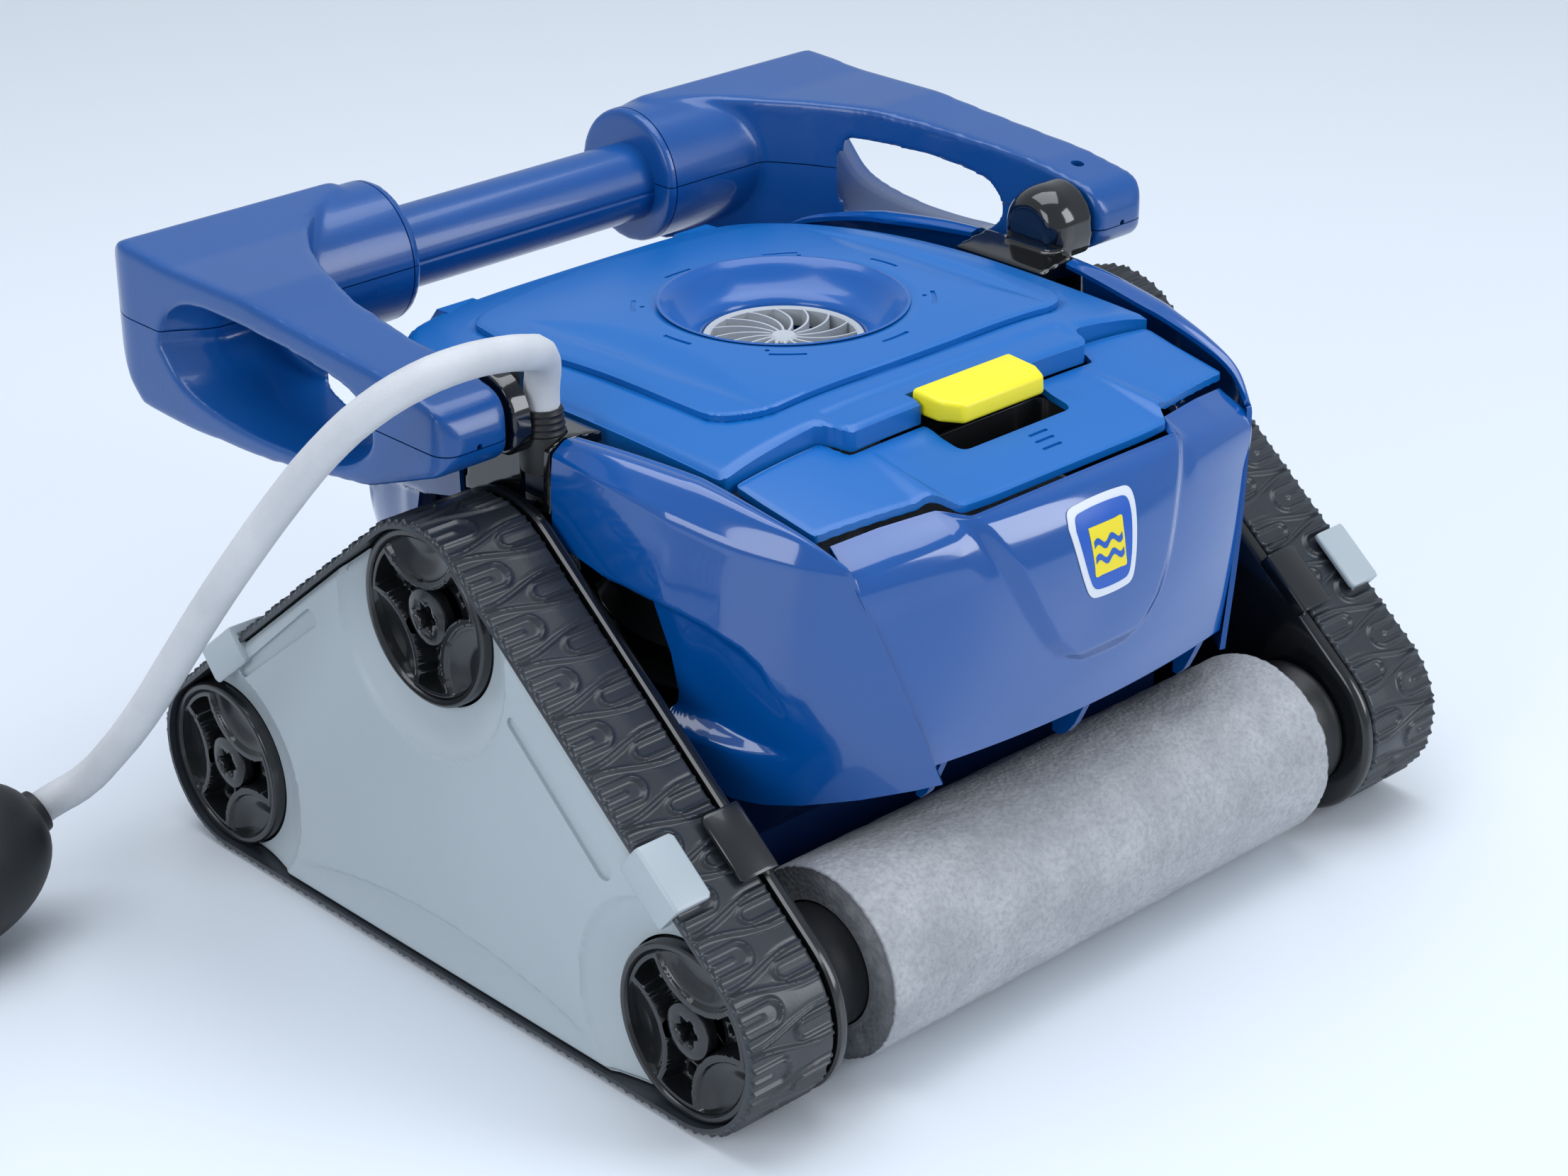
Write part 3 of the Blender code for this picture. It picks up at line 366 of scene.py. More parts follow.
def plug_form(u, v):
    """Along the plug from its boot to its face: the nut's stretch has ribs that stand out round it."""
    profile = [(0, BORE), (0, 0.0082), (0.006, 0.009), (0.01, 0.0086), (0.014, 0.0092), (0.018, 0.0088)]
    profile += [(0.0225, 0.0098), (0.0245, 0.013), (0.0255, NUT_RADIUS), (0.05, NUT_RADIUS), (0.0512, 0.0138)]
    profile += [
        (0.052, 0.0112), (0.0632, 0.011), (0.0638, 0.0104), (0.0638, 0.0088), (0.056, 0.0086), (0.056, 0),
    ]
    along, radius = profile[round(v * (len(profile) - 1))]
    if radius == NUT_RADIUS:
        radius -= 0.001 * (0.5 - 0.5 * math.cos(math.tau * u * RIBS)) ** 2
    return PLUG_START + Vector((along, radius * math.cos(math.tau * u), radius * math.sin(math.tau * u)))


plug = skin("cable_connector", RIBS * 8, 16, plug_form)
nylon = moulded("black_polyamide", "#0d0d0e", "#18191b", 0.34, grain=0.0005)
settle(plug, "hull", "connector_plug", slot="gloss_black_plastic", look=nylon, smooth=35)

# ------------------------------------------------------------------ Coil strap
# Woven black hook-and-loop tape, closed round the coil's turns where they cross its near side. After it, the
# cable is attached to the hull and the engineered cord parts are hidden.

STRAP_HALF = 0.009
coil_high = COIL_LAYERS * CABLE
strap_in, strap_out = INNER_LANE - CABLE / 2 - 0.001, OUTER_LANE + CABLE / 2 + 0.0006


def strap_form(u, v):
    corners = [
        (strap_in, 0.0012), (strap_out, 0.0012), (strap_out, coil_high + 0.0002),
        (strap_in, coil_high + 0.0002),
    ]
    share = (u % 1.0) * 4
    side = min(int(share), 3)
    a, b = corners[side], corners[(side + 1) % 4]
    out = a[0] + (b[0] - a[0]) * (share - side)
    up = a[1] + (b[1] - a[1]) * (share - side)
    return Vector((COIL_CENTRE.x + (v - 0.5) * 2 * STRAP_HALF, COIL_CENTRE.y - out, up))


strap = skin("coil_strap", 32, 4, strap_form)
modify(strap, "SOLIDIFY", thickness=0.0009, offset=1)
webbing = moulded("black_hook_tape", "#141416", "#202124", 0.85, grain=0.0006, strength=0.6)
settle(strap, "hull", slot="black_rubber", look=webbing, smooth=40)

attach(cable, "hull")
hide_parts("cord_lead", "cord_run", "cord_coil")

# ------------------------------------------------------------------ Wheels
# Injection moulded from glossy black ABS. The face has three open arms between shallow leaf-shaped dishes,
# and a bolt with a six-lobed socket holds each lower wheel. The top wheel is pressed on its motor's shaft.

AXLES = {"front": (FRONT_AXLE_Y, LOW_AXLE_Z), "rear": (-FRONT_AXLE_Y, LOW_AXLE_Z)}
TOP_AXLE_Z = middle_of("wheel_right_top")[1]
AXLES["top"] = (0.0, TOP_AXLE_Z)
WHEEL_RADIUS = (front_wheel[1].z - front_wheel[0].z) / 2
WHEEL_IN, WHEEL_OUT = front_wheel[0].x, front_wheel[1].x
HUB_RADIUS = 0.0128
CAP_RADIUS = 0.0122
SOCKET_RADIUS = 0.0052
FACE_RADIUS = 0.0342
LEAF_REACH = 0.0405


def ramp(value, low, high):
    """0 below low, 1 above high, with a soft change between."""
    return eased(min(max((value - low) / (high - low), 0.0), 1.0))


def wheel_depth(radius, angle):
    """How far the wheel's face lies behind its rim, by place, in metres."""
    if radius > FACE_RADIUS:
        return 0.0
    leaf = min(
        math.dist(
            (radius * math.cos(angle), radius * math.sin(angle)),
            (LEAF_REACH * math.cos(k * math.tau / 3), LEAF_REACH * math.sin(k * math.tau / 3)),
        )
        for k in range(3)
    )
    dish = 0.0022 + 0.003 * ramp(0.025 - leaf, 0.0, 0.011)
    pocket = 0.0098
    arm_angle = (angle - math.pi / 3 + math.pi) % (math.tau / 3) - math.pi / 3
    across = abs(radius * math.sin(arm_angle))
    slot = max(abs(radius * math.cos(arm_angle) - 0.0222) - 0.0034, across - 0.0019)
    pocket -= 0.0022 * ramp(0.0012 - abs(slot - 0.0008), 0.0, 0.0006)
    pocket += 0.003 * ramp(-slot, 0.0, 0.0008)
    depth = 0.0006
    depth += (pocket - 0.0006) * ramp(leaf, 0.0279, 0.0291) * ramp(0.0312 - radius, 0.0, 0.0012)
    depth += (dish - 0.0006) * ramp(0.0251 - leaf, 0.0, 0.001) * ramp(0.0334 - radius, 0.0, 0.001)
    return depth + 0.0012 * ramp(radius, 0.033, 0.0336) * ramp(FACE_RADIUS - radius, 0.0, 0.0006)


FACE_RINGS = 54
gloss_abs = moulded("gloss_black_abs", "#121416", "#1b1d1f", 0.21, mottle=25.0, coat=0.3)
for side, side_name in ((-1, "left"), (1, "right")):
    for place_name, (axle_y, axle_z) in AXLES.items():
        turn = {"front": 0.35, "rear": 0.1, "top": 0.62}[place_name]

        def wheel_form(u, v):
            k = round(v * (FACE_RINGS + 5))
            angle = math.tau * u
            back = [(WHEEL_IN, 0.0056), (WHEEL_IN, WHEEL_RADIUS - 0.001), (WHEEL_IN + 0.001, WHEEL_RADIUS)]
            back += [(WHEEL_OUT - 0.0008, WHEEL_RADIUS), (WHEEL_OUT, WHEEL_RADIUS - 0.0009)]
            if k < len(back):
                along, radius = back[k]
            else:
                share = (k - len(back)) / (FACE_RINGS + 5 - len(back))
                radius = WHEEL_RADIUS - 0.0016 + (HUB_RADIUS + 0.0002 - WHEEL_RADIUS + 0.0016) * share
                along = WHEEL_OUT - wheel_depth(radius, angle + turn)
            return Vector((side * along, axle_y + radius * math.cos(angle), axle_z + radius * math.sin(angle)))

        wheel = skin(f"wheel_{side_name}_{place_name}_moulding", 200, FACE_RINGS + 5, wheel_form)
        node_name = f"wheel_{side_name}_{place_name}"
        settle(wheel, node_name, node_name, slot="gloss_black_plastic", look=gloss_abs, smooth=50)

        def bolt_form(u, v):
            """The bolt's domed cap with its six-lobed socket, and its shank behind."""
            angle = math.tau * u
            k = round(v * 14)
            lobe = SOCKET_RADIUS + 0.001 * math.cos(6 * angle)
            rows = [
                (0.1595, 0.0), (0.1595, 0.005), (WHEEL_OUT - 0.0068, 0.005), (WHEEL_OUT - 0.0066, CAP_RADIUS),
            ]
            rows += [(WHEEL_OUT - 0.003, CAP_RADIUS), (WHEEL_OUT - 0.002, CAP_RADIUS - 0.0006)]
            rows += [(WHEEL_OUT - 0.0012, CAP_RADIUS - 0.003), (WHEEL_OUT - 0.001, CAP_RADIUS - 0.0052)]
            rows += [
                (WHEEL_OUT - 0.0014, lobe + 0.0006), (WHEEL_OUT - 0.002, lobe),
                (WHEEL_OUT - 0.0085, lobe - 0.0003),
            ]
            rows += [(WHEEL_OUT - 0.0086, 0.003), (WHEEL_OUT - 0.0086, 0.0022), (WHEEL_OUT - 0.0086, 0.001)]
            rows += [(WHEEL_OUT - 0.0086, 0.0)]
            along, radius = rows[k]
            return Vector((side * along, axle_y + radius * math.cos(angle), axle_z + radius * math.sin(angle)))

        bolt = skin(f"hub_cap_{side_name}_{place_name}", 72, 14, bolt_form)
        if place_name == "top":
            settle(bolt, node_name, slot="gloss_black_plastic", look=gloss_abs, smooth=40)
        else:
            bolt_node = f"axle_bolt_{side_name}_{place_name}"
            settle(bolt, "hull", bolt_node, slot="gloss_black_plastic", look=gloss_abs, smooth=40)

# ------------------------------------------------------------------ Track belts
# Moulded rubber loops. Each pitch of the tread has a U-shaped rib that is open at the outer edge, a smaller one
# open at the inner edge half a pitch on, and a pair of long ribs that spread out round that, with pads between.

belt_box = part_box("track_belt_right")
BELT_IN, BELT_OUT = belt_box[0].x, belt_box[1].x
TRACK_RADIUS = LOW_AXLE_Z - belt_box[0].z
PITCHES = 38
STEPS_A_PITCH = 50
TREAD_STEPS = 44
RIB_HIGH = 0.0016
SLOPE = math.atan2(TOP_AXLE_Z - LOW_AXLE_Z, -FRONT_AXLE_Y)
RUN = math.hypot(TOP_AXLE_Z - LOW_AXLE_Z, FRONT_AXLE_Y)


def track_point(distance, radius):
    """A point of the loop round the three axles, by its distance along the tread from under the front wheel."""
    base = -2 * FRONT_AXLE_Y
    low_arc = math.pi - SLOPE
    legs = [("line", base), ("rear", low_arc * TRACK_RADIUS), ("line2", RUN), ("top", 2 * SLOPE * TRACK_RADIUS)]
    legs += [("line3", RUN), ("front", low_arc * TRACK_RADIUS)]
    for leg, length in legs:
        if distance <= length:
            break
        distance -= length
    turn = distance / TRACK_RADIUS
    if leg == "line":
        return (FRONT_AXLE_Y + distance, LOW_AXLE_Z - radius)
    if leg in ("line2", "line3"):
        angle = math.pi / 2 - SLOPE if leg == "line2" else math.pi / 2 + SLOPE
        start = (-FRONT_AXLE_Y, LOW_AXLE_Z) if leg == "line2" else (0.0, TOP_AXLE_Z)
        return (
            start[0] + radius * math.cos(angle) - distance * math.sin(angle),
            start[1] + radius * math.sin(angle) + distance * math.cos(angle),
        )
    centre, start = {
        "rear": ((-FRONT_AXLE_Y, LOW_AXLE_Z), -math.pi / 2),
        "top": ((0.0, TOP_AXLE_Z), math.pi / 2 - SLOPE),
        "front": ((FRONT_AXLE_Y, LOW_AXLE_Z), math.pi / 2 + SLOPE),
    }[leg]
    return (centre[0] + radius * math.cos(start + turn), centre[1] + radius * math.sin(start + turn))


TRACK_LENGTH = -2 * FRONT_AXLE_Y + 2 * RUN + math.tau * TRACK_RADIUS
SEAM = 0.9999999  # A loop's last point stays this near the end of its length, where it meets the first.


def rib(offset, half=0.001):
    """The rounded height of a rib at a distance from its middle."""
    return math.exp(-((offset / half) ** 2))


def loop(across, along, radius, tip):
    """The distance from a U-shaped loop that is open at the belt's edge and has its round tip that far in."""
    return abs(math.hypot(across, max(along - (tip - radius), 0.0)) - radius)


def tread(s, w):
    """The tread's height, 0 to 1, at a share s of its pitch and a share w across from the outer edge."""
    pitch, wide = TRACK_LENGTH / PITCHES, abs(BELT_OUT - BELT_IN)
    near, far = ((s % 1.0) - 0.5) * pitch, ((s + 0.5) % 1.0 - 0.5) * pitch
    inward, outward = w * wide, (1 - w) * wide
    high = rib(loop(near, inward, 0.205 * pitch, 0.47 * wide))
    high = max(high, 0.85 * rib(loop(far, outward, 0.135 * pitch, 0.43 * wide), 0.0009))
    spread = (0.06 + 0.225 * ramp(w, 0.1, 0.85)) * pitch
    high = max(high, rib(abs(far) - spread, 0.001))
    # One short finger runs up the middle of each loop, and the pads between the ribs are crowned.
    high = max(high, 0.7 * rib(near, 0.0009) * ramp(0.3 - w, 0.0, 0.05))
    land = 0.38 * ramp(abs(far), spread + 0.0006, spread + 0.003) * ramp(w, 0.45, 0.75)
    return max(high, land) * ramp(min(w, 1 - w), 0.0, 0.03)


def belt_form(side):
    steps = TREAD_STEPS + 6

    def form(u, v):
        k = round(v * steps)
        distance = u * TRACK_LENGTH * SEAM
        base = TRACK_RADIUS - RIB_HIGH
        inner = TRACK_RADIUS - 0.0042
        if k <= TREAD_STEPS:
            w = k / TREAD_STEPS
            x = BELT_OUT + (BELT_IN - BELT_OUT) * w
            radius = base + RIB_HIGH * tread(u * PITCHES, w)
            edge = min(w, 1 - w)
            radius -= 0.0008 * (1 - ramp(edge, 0.0, 0.02))
        else:
            x, radius = [
                (BELT_IN, base - 0.0012),
                (BELT_IN, inner),
                ((BELT_IN + BELT_OUT) / 2, inner),
                (BELT_OUT, inner),
                (BELT_OUT, base - 0.0012),
                (BELT_OUT, base - 0.0008),
            ][k - TREAD_STEPS - 1]
        y, z = track_point(distance, radius)
        return Vector((side * x, y, z))

    return form


tread_rubber = moulded(
    "black_tread_rubber", "#24282d", "#343940", 0.31, grain=0.0014, strength=0.08, mottle=30.0,
)
belt = skin("belt_right_tread", PITCHES * STEPS_A_PITCH, TREAD_STEPS + 6, belt_form(1))
left_belt = belt.copy()
left_belt.data = belt.data.copy()
left_belt.name = "belt_left_tread"
bpy.context.scene.collection.objects.link(left_belt)
left_belt.data.transform(Matrix.Diagonal((-1, 1, 1, 1)))
left_belt.data.flip_normals()
settle(belt, "hull", "track_belt_right", slot="black_rubber", look=tread_rubber, smooth=60)
settle(left_belt, "hull", "track_belt_left", slot="black_rubber", look=tread_rubber, smooth=60)

# ------------------------------------------------------------------ Side covers
# One grey ABS moulding on each side, satin from a lightly etched tool. Broad dishes lead down to the wheels,
# long grip slots are let in along both slopes, and a clip at each end wraps over the belt's edge.

COVER_FACE = 0.2092
WINDOW = WHEEL_RADIUS + 0.0012
DISH_RADIUS = WINDOW + 0.0145
COVER_EDGE = TRACK_RADIUS - 0.005


def slope_place(distance, offset, side_y):
    """(y, z) at a distance down a slope from the top axle and an offset out from the line of axles."""
    y = distance * math.cos(SLOPE) + offset * math.sin(SLOPE)
    return (side_y * y, TOP_AXLE_Z - distance * math.sin(SLOPE) + offset * math.cos(SLOPE))


def cover_drop(y, z):
    """How far the cover's face falls in from its outer plane."""
    drop = 0.0
    for axle_y, axle_z in AXLES.values():
        reach = math.dist((y, z), (axle_y, axle_z))
        # Each dish is wider on the side that faces the cover's middle.
        inward = Vector((-axle_y, 0.075 - axle_z)).normalized().dot(Vector((y - axle_y, z - axle_z))) / max(
            reach, 0.001,
        )
        dish = DISH_RADIUS + 0.006 * inward
        drop = max(
            drop, 0.0058 * ramp(dish - reach, 0.0, 0.019) ** 0.75 + 0.0014 * ramp(dish - reach, 0, 0.0018),
        )
    crease = 0.031 - 0.014 * (y / 0.095) ** 2
    drop += 0.0018 * ramp(crease - z, 0.0, 0.0026) * ramp(0.1 - abs(y), 0.0, 0.02) * ramp(z, 0.006, 0.024)
    side_out = abs(y) * math.sin(SLOPE) + (z - TOP_AXLE_Z) * math.cos(SLOPE)
    edge = min(COVER_EDGE - side_out, z - (LOW_AXLE_Z - COVER_EDGE))
    return drop + 0.002 * (1 - ramp(edge, 0.0, 0.003)) ** 1.5


def side_cover_form(side):
    low_z, high_z, half = 0.002, 0.186, 0.158

    def form(u, v):
        y, z = -half + 2 * half * u, low_z + (high_z - low_z) * v
        return Vector((side * (COVER_FACE - cover_drop(y, z)), y, z))

    return form


def outline_prism(name, outline, low, high, axis="X"):
    """A block with that outline, pulled along an axis."""
    places = {"X": (2, 0, 1), "Y": (0, 2, 1), "Z": (0, 1, 2)}[axis]
    mesh = bpy.data.meshes.new(name)
    count = len(outline)
    points = [[(a, b, end)[k] for k in places] for end in (low, high) for a, b in outline]
    faces = [tuple(range(count)), tuple(range(2 * count - 1, count - 1, -1))]
    faces += [(k, (k + 1) % count, (k + 1) % count + count, k + count) for k in range(count)]
    mesh.from_pydata(points, [], faces)
    piece = bpy.data.objects.new(name, mesh)
    bpy.context.scene.collection.objects.link(piece)
    bpy.ops.object.select_all(action="DESELECT")
    bpy.context.view_layer.objects.active = piece
    piece.select_set(True)
    bpy.ops.object.mode_set(mode="EDIT")
    bpy.ops.mesh.select_all(action="SELECT")
    bpy.ops.mesh.normals_make_consistent(inside=False)
    bpy.ops.object.mode_set(mode="OBJECT")
    return piece


def shape_with(piece, tool, operation="DIFFERENCE", solver="MANIFOLD"):
    """Cuts, joins or trims a piece with a tool, which is then thrown away."""
    modify(tool, "TRIANGULATE")
    modify(piece, "BOOLEAN", operation=operation, object=tool, solver=solver)
    bpy.data.objects.remove(tool)
    return piece


def drill(piece, axis, centre, radius, low, high, steps=96):
    """Cuts a round hole through a piece."""
    profile = [(low, 0), (low, radius), (high, radius), (high, 0)]
    return shape_with(piece, turned("drill", profile, steps, axis=axis, centre=centre))


def arc_points(centre, radius, start, end, steps):
    found = []
    for k in range(steps + 1):
        turn = math.radians(start + (end - start) * k / steps)
        found.append((centre[0] + radius * math.cos(turn), centre[1] + radius * math.sin(turn)))
    return found


def track_outline(radius, steps=24):
    """The rounded triangle round the wheels."""
    tilt = math.degrees(SLOPE)
    outline = arc_points(AXLES["front"], radius, 90 + tilt, 270, steps)
    outline += arc_points(AXLES["rear"], radius, -90, 90 - tilt, steps)
    return outline + arc_points(AXLES["top"], radius, 90 - tilt, 90 + tilt, steps)


# Two tapered grip slots: the middles of their ends and the radius there.
SLOTS = [((-0.056, 0.14), 0.0028, (-0.108, 0.097), 0.0046), ((0.074, 0.14), 0.0042, (0.126, 0.097), 0.0028)]
grey_abs = moulded("grey_etched_abs", "#a6b0b5", "#afb9be", 0.34, grain=0.0006, strength=0.12, mottle=8.0)


def slope_bar(name, section, heart, stretch, taper, side, side_y):
    """A short bar along a stretch of the slope: its section is drawn in a little at both ends."""

    def form(u, v):
        k = round(v * 5)
        point = Vector(section[round(u * len(section)) % len(section)])
        if k not in (2, 3):
            point = Vector(heart) + (point - Vector(heart)) * (0.93 if k in (1, 4) else 0.0)
        share = [0.0, 0.0, taper, 1 - taper, 1.0, 1.0][k]
        y, z = slope_place(stretch[0] + (stretch[1] - stretch[0]) * share, point.y, side_y)
        return Vector((side * point.x, y, z))

    return skin(name, len(section), 5, form)


for side, side_name in ((-1, "left"), (1, "right")):
    cover = skin(f"side_cover_{side_name}_moulding", 190, 112, side_cover_form(side))
    modify(cover, "SOLIDIFY", thickness=0.0022, offset=-1)
    low, high = sorted((side * 0.19, side * 0.22))
    shape_with(cover, outline_prism("trim", track_outline(COVER_EDGE), low, high), "INTERSECT")
    for axle in AXLES.values():
        drill(cover, "X", (0, *axle), WINDOW, low, high)
    for side_y in (-1, 1):
        outline = [
            (side_y * 0.153, -0.01), (side_y * 0.25, -0.01), (side_y * 0.25, 0.3), (side_y * 0.153, 0.087),
        ]
        shape_with(cover, outline_prism("tip", outline, low, high))
    peak = [(-0.06, TOP_AXLE_Z + 0.0165), (0.06, TOP_AXLE_Z + 0.0165), (0.06, 0.3), (-0.06, 0.3)]
    shape_with(cover, outline_prism("peak", peak, low, high))
    for start, start_radius, end, end_radius in SLOTS:
        tilt = math.degrees(math.atan2(end[1] - start[1], end[0] - start[0]))
        outline = arc_points(start, start_radius, tilt + 90, tilt + 270, 12) + arc_points(
            end, end_radius, tilt - 90, tilt + 90, 12,
        )
        floor, face = sorted((side * (COVER_FACE - 0.0016), side * (COVER_FACE + 0.002)))
        shape_with(cover, outline_prism("slot", outline, floor, face))
    settle(cover, "hull", f"side_cover_{side_name}", slot="grey_plastic", look=grey_abs, smooth=28)

    for side_y, place_name in ((-1, "front"), (1, "rear")):
        # The clip's section, from its foot on the cover to the lip that lies over the tread.
        section = [(0.207, 0.03), (0.2115, 0.029), (0.2123, 0.031), (0.2123, 0.0448), (0.2112, 0.046)]
        section += [(0.1945, 0.046), (0.1935, 0.0452), (0.1935, 0.0436), (0.1942, 0.043), (0.21, 0.043)]
        section += [(0.207, 0.038)]
        clip = slope_bar(
            f"belt_clip_{side_name}_{place_name}", section, (0.2095, 0.04), (0.1315, 0.1605), 0.06, side,
            side_y,
        )
        round_edges(clip, 0.0009, 3, 35)
        settle(clip, "hull", slot="grey_plastic", look=grey_abs, smooth=35)

# ------------------------------------------------------------------ Side frames
# Glossy black ABS plates behind the belts carry the wheels. A rounded bead follows their edge, and a tab at
# each end reaches over the tread.

FRAME_IN, FRAME_OUT = 0.159, 0.165
for side, side_name in ((-1, "left"), (1, "right")):
    bead = [(FRAME_IN, 0.03), (FRAME_IN, 0.0395), (FRAME_IN + 0.001, 0.0412), (FRAME_IN + 0.0026, 0.0419)]
    bead += [(FRAME_OUT - 0.0012, 0.0417), (FRAME_OUT - 0.0003, 0.0406), (FRAME_OUT - 0.0004, 0.038)]
    bead += [(FRAME_OUT - 0.0018, 0.0368), (FRAME_OUT - 0.0018, 0.03)]
    count = len(bead)

    def frame_form(u, v):
        x, radius = bead[round(v * count) % count]
        y, z = track_point(u * TRACK_LENGTH * SEAM, radius)
        return Vector((side * x, y, z))

    rim = skin(f"side_frame_rim_{side_name}", 320, count, frame_form)
    web_sides = sorted((side * (FRAME_IN + 0.0006), side * (FRAME_OUT - 0.0024)))
    web = outline_prism("web", track_outline(0.031, 16), *web_sides)
    shape_with(rim, web, "UNION")
    for place_name in ("front", "rear"):
        drill(rim, "X", (0, *AXLES[place_name]), 0.0053, *sorted((side * 0.15, side * 0.17)), steps=40)
    drill(rim, "X", (0, *AXLES["top"]), 0.007, *sorted((side * 0.15, side * 0.17)), steps=40)
    settle(rim, "hull", f"side_frame_{side_name}", slot="gloss_black_plastic", look=gloss_abs, smooth=40)
    for side_y, place_name in ((-1, "front"), (1, "rear")):
        section = [(0.1592, 0.039), (0.159, 0.0446), (0.1602, 0.046), (0.1765, 0.046), (0.1782, 0.0452)]
        section += [(0.1788, 0.0436), (0.178, 0.0428), (0.165, 0.0428), (0.164, 0.039)]
        tab = slope_bar(
            f"frame_tab_{side_name}_{place_name}", section, (0.164, 0.044), (0.131, 0.161), 0.05, side, side_y,
        )
        round_edges(tab, 0.0007, 3, 35)
        settle(tab, "hull", slot="gloss_black_plastic", look=gloss_abs, smooth=35)

# ------------------------------------------------------------------ Sponge rollers
# A sleeve of grey PVA sponge, cut to a cylinder on a lathe, on a black core with a flange at each end. Its skin
# is pale and pitted, and the cut ends are darker and rough.

sponge_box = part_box("roller_sponge_front")
SPONGE_RADIUS = (sponge_box[1].z - sponge_box[0].z) / 2
SPONGE_HALF = sponge_box[1].x
CORE_RADIUS = 0.0262
SLEEVE_RINGS = 110  # From the bore, over one cut end, along the skin and over the other end.
END_RINGS, FAR_END = 8, 102

sponge_look, tree, surface = blank_material("grey_pva_sponge")
place = add_node(tree, "TexCoord")
blotch = add_node(
    tree, "TexNoise", {"Vector": place.outputs["Object"], "Scale": 30.0, "Detail": 7.0, "Roughness": 0.68},
)
speck = add_node(
    tree, "TexNoise", {"Vector": place.outputs["Object"], "Scale": 420.0, "Detail": 4.0, "Roughness": 0.7},
)
PORE = 0.0022
pores = add_node(tree, "TexVoronoi", {"Vector": place.outputs["Object"], "Scale": 1 / PORE})
spread = add_node(tree, "MapRange", {0: blotch.outputs[0], 1: 0.36, 2: 0.66})
skin_tint = add_node(
    tree, "Mix", {0: spread.outputs[0], 6: srgb("#a2a5a9"), 7: srgb("#bcbec1")}, data_type="RGBA",
)
fleck_share = add_node(tree, "MapRange", {0: speck.outputs[0], 1: 0.42, 2: 0.66, 4: 0.45})
fleck = add_node(
    tree, "Mix", {0: fleck_share.outputs[0], 6: skin_tint.outputs[2], 7: srgb("#85878c")}, data_type="RGBA",
)
split = add_node(tree, "SeparateXYZ", {0: place.outputs["Object"]})
end_x = add_node(tree, "Math", {0: split.outputs[0]}, operation="ABSOLUTE")
end_share = add_node(
    tree, "MapRange", {0: end_x.outputs[0], 1: SPONGE_HALF - 0.0012, 2: SPONGE_HALF - 0.0002, 4: 0.75},
)
tint = add_node(
    tree, "Mix", {0: end_share.outputs[0], 6: fleck.outputs[2], 7: srgb("#5f6064")}, data_type="RGBA",
)
height = add_node(tree, "Math", {0: speck.outputs[0], 1: pores.outputs[0]}, operation="ADD")
relief = add_node(tree, "Bump", {"Height": height.outputs[0], "Strength": 0.55, "Distance": 0.0006})
tree.links.new(tint.outputs[2], surface.inputs["Base Color"])
tree.links.new(relief.outputs[0], surface.inputs["Normal"])
surface.inputs["Roughness"].default_value = 0.88
surface.inputs["Specular IOR Level"].default_value = 0.3

core_look = moulded("black_core_nylon", "#17181a", "#222326", 0.42, grain=0.0008)
for side_y, place_name in ((-1, "front"), (1, "rear")):
    axle_y = AXLES[place_name][0]

    def sponge_form(u, v):
        """Down the bore, over one cut end, along the skin and over the other end."""
        k = round(v * SLEEVE_RINGS)
        across = SPONGE_RADIUS - CORE_RADIUS - 0.0014
        if k < END_RINGS:
            along, radius = -SPONGE_HALF, CORE_RADIUS + 0.0004 + across * k / END_RINGS
        elif k <= FAR_END:
            along = -SPONGE_HALF + 2 * SPONGE_HALF * (k - END_RINGS) / (FAR_END - END_RINGS)
            radius = SPONGE_RADIUS - 0.0004
        elif k < SLEEVE_RINGS:
            along, radius = SPONGE_HALF, CORE_RADIUS + 0.0004 + across * (SLEEVE_RINGS - k) / END_RINGS
        else:
            along, radius = -SPONGE_HALF, CORE_RADIUS + 0.0004
        angle = math.tau * (u % 1.0)
        spot = Vector((along, radius * math.cos(angle), radius * math.sin(angle)))
        rough = noise.noise(spot * 160 + Vector((7 * side_y, 0, 0)))
        chip = max(0.0, noise.noise(spot * 330) - 0.25)
        if END_RINGS <= k <= FAR_END:
            radius += 0.00035 * rough - 0.0009 * chip
            if k in (END_RINGS, FAR_END):
                radius -= 0.0006 + 0.0012 * abs(noise.noise(spot * 500))
        elif 0 < k < SLEEVE_RINGS:
            along -= math.copysign(0.0005 * abs(rough) + 0.0002, along)
        return Vector((along, axle_y + radius * math.cos(angle), LOW_AXLE_Z + radius * math.sin(angle)))

    sponge = skin(f"sponge_sleeve_{place_name}", 150, SLEEVE_RINGS, sponge_form)
    settle(
        sponge, f"roller_{place_name}", f"roller_sponge_{place_name}", slot="grey_sponge", look=sponge_look,
        smooth=60,
    )
    profile = [(-0.158, 0.0), (-0.158, 0.0285), (-0.1572, 0.0298), (-0.1552, 0.0298), (-0.1535, 0.0288)]
    profile += [(-0.15, CORE_RADIUS + 0.0012), (-0.144, CORE_RADIUS - 0.0004), (-0.134, CORE_RADIUS - 0.0004)]
    profile += [(-along, radius) for along, radius in reversed(profile)]
    core = turned(f"roller_core_{place_name}_moulding", profile, 96, centre=(0, axle_y, LOW_AXLE_Z))
    settle(
        core, f"roller_{place_name}", f"roller_core_{place_name}", slot="gloss_black_plastic", look=core_look,
        smooth=35,
    )

# ------------------------------------------------------------------ Fenders
# Four gloss blue ABS corners, screwed to the tub from behind. A crease runs along each from the handle's pivot
# to the nose, and below it a scooped side ends in a fin over the sponge roller.


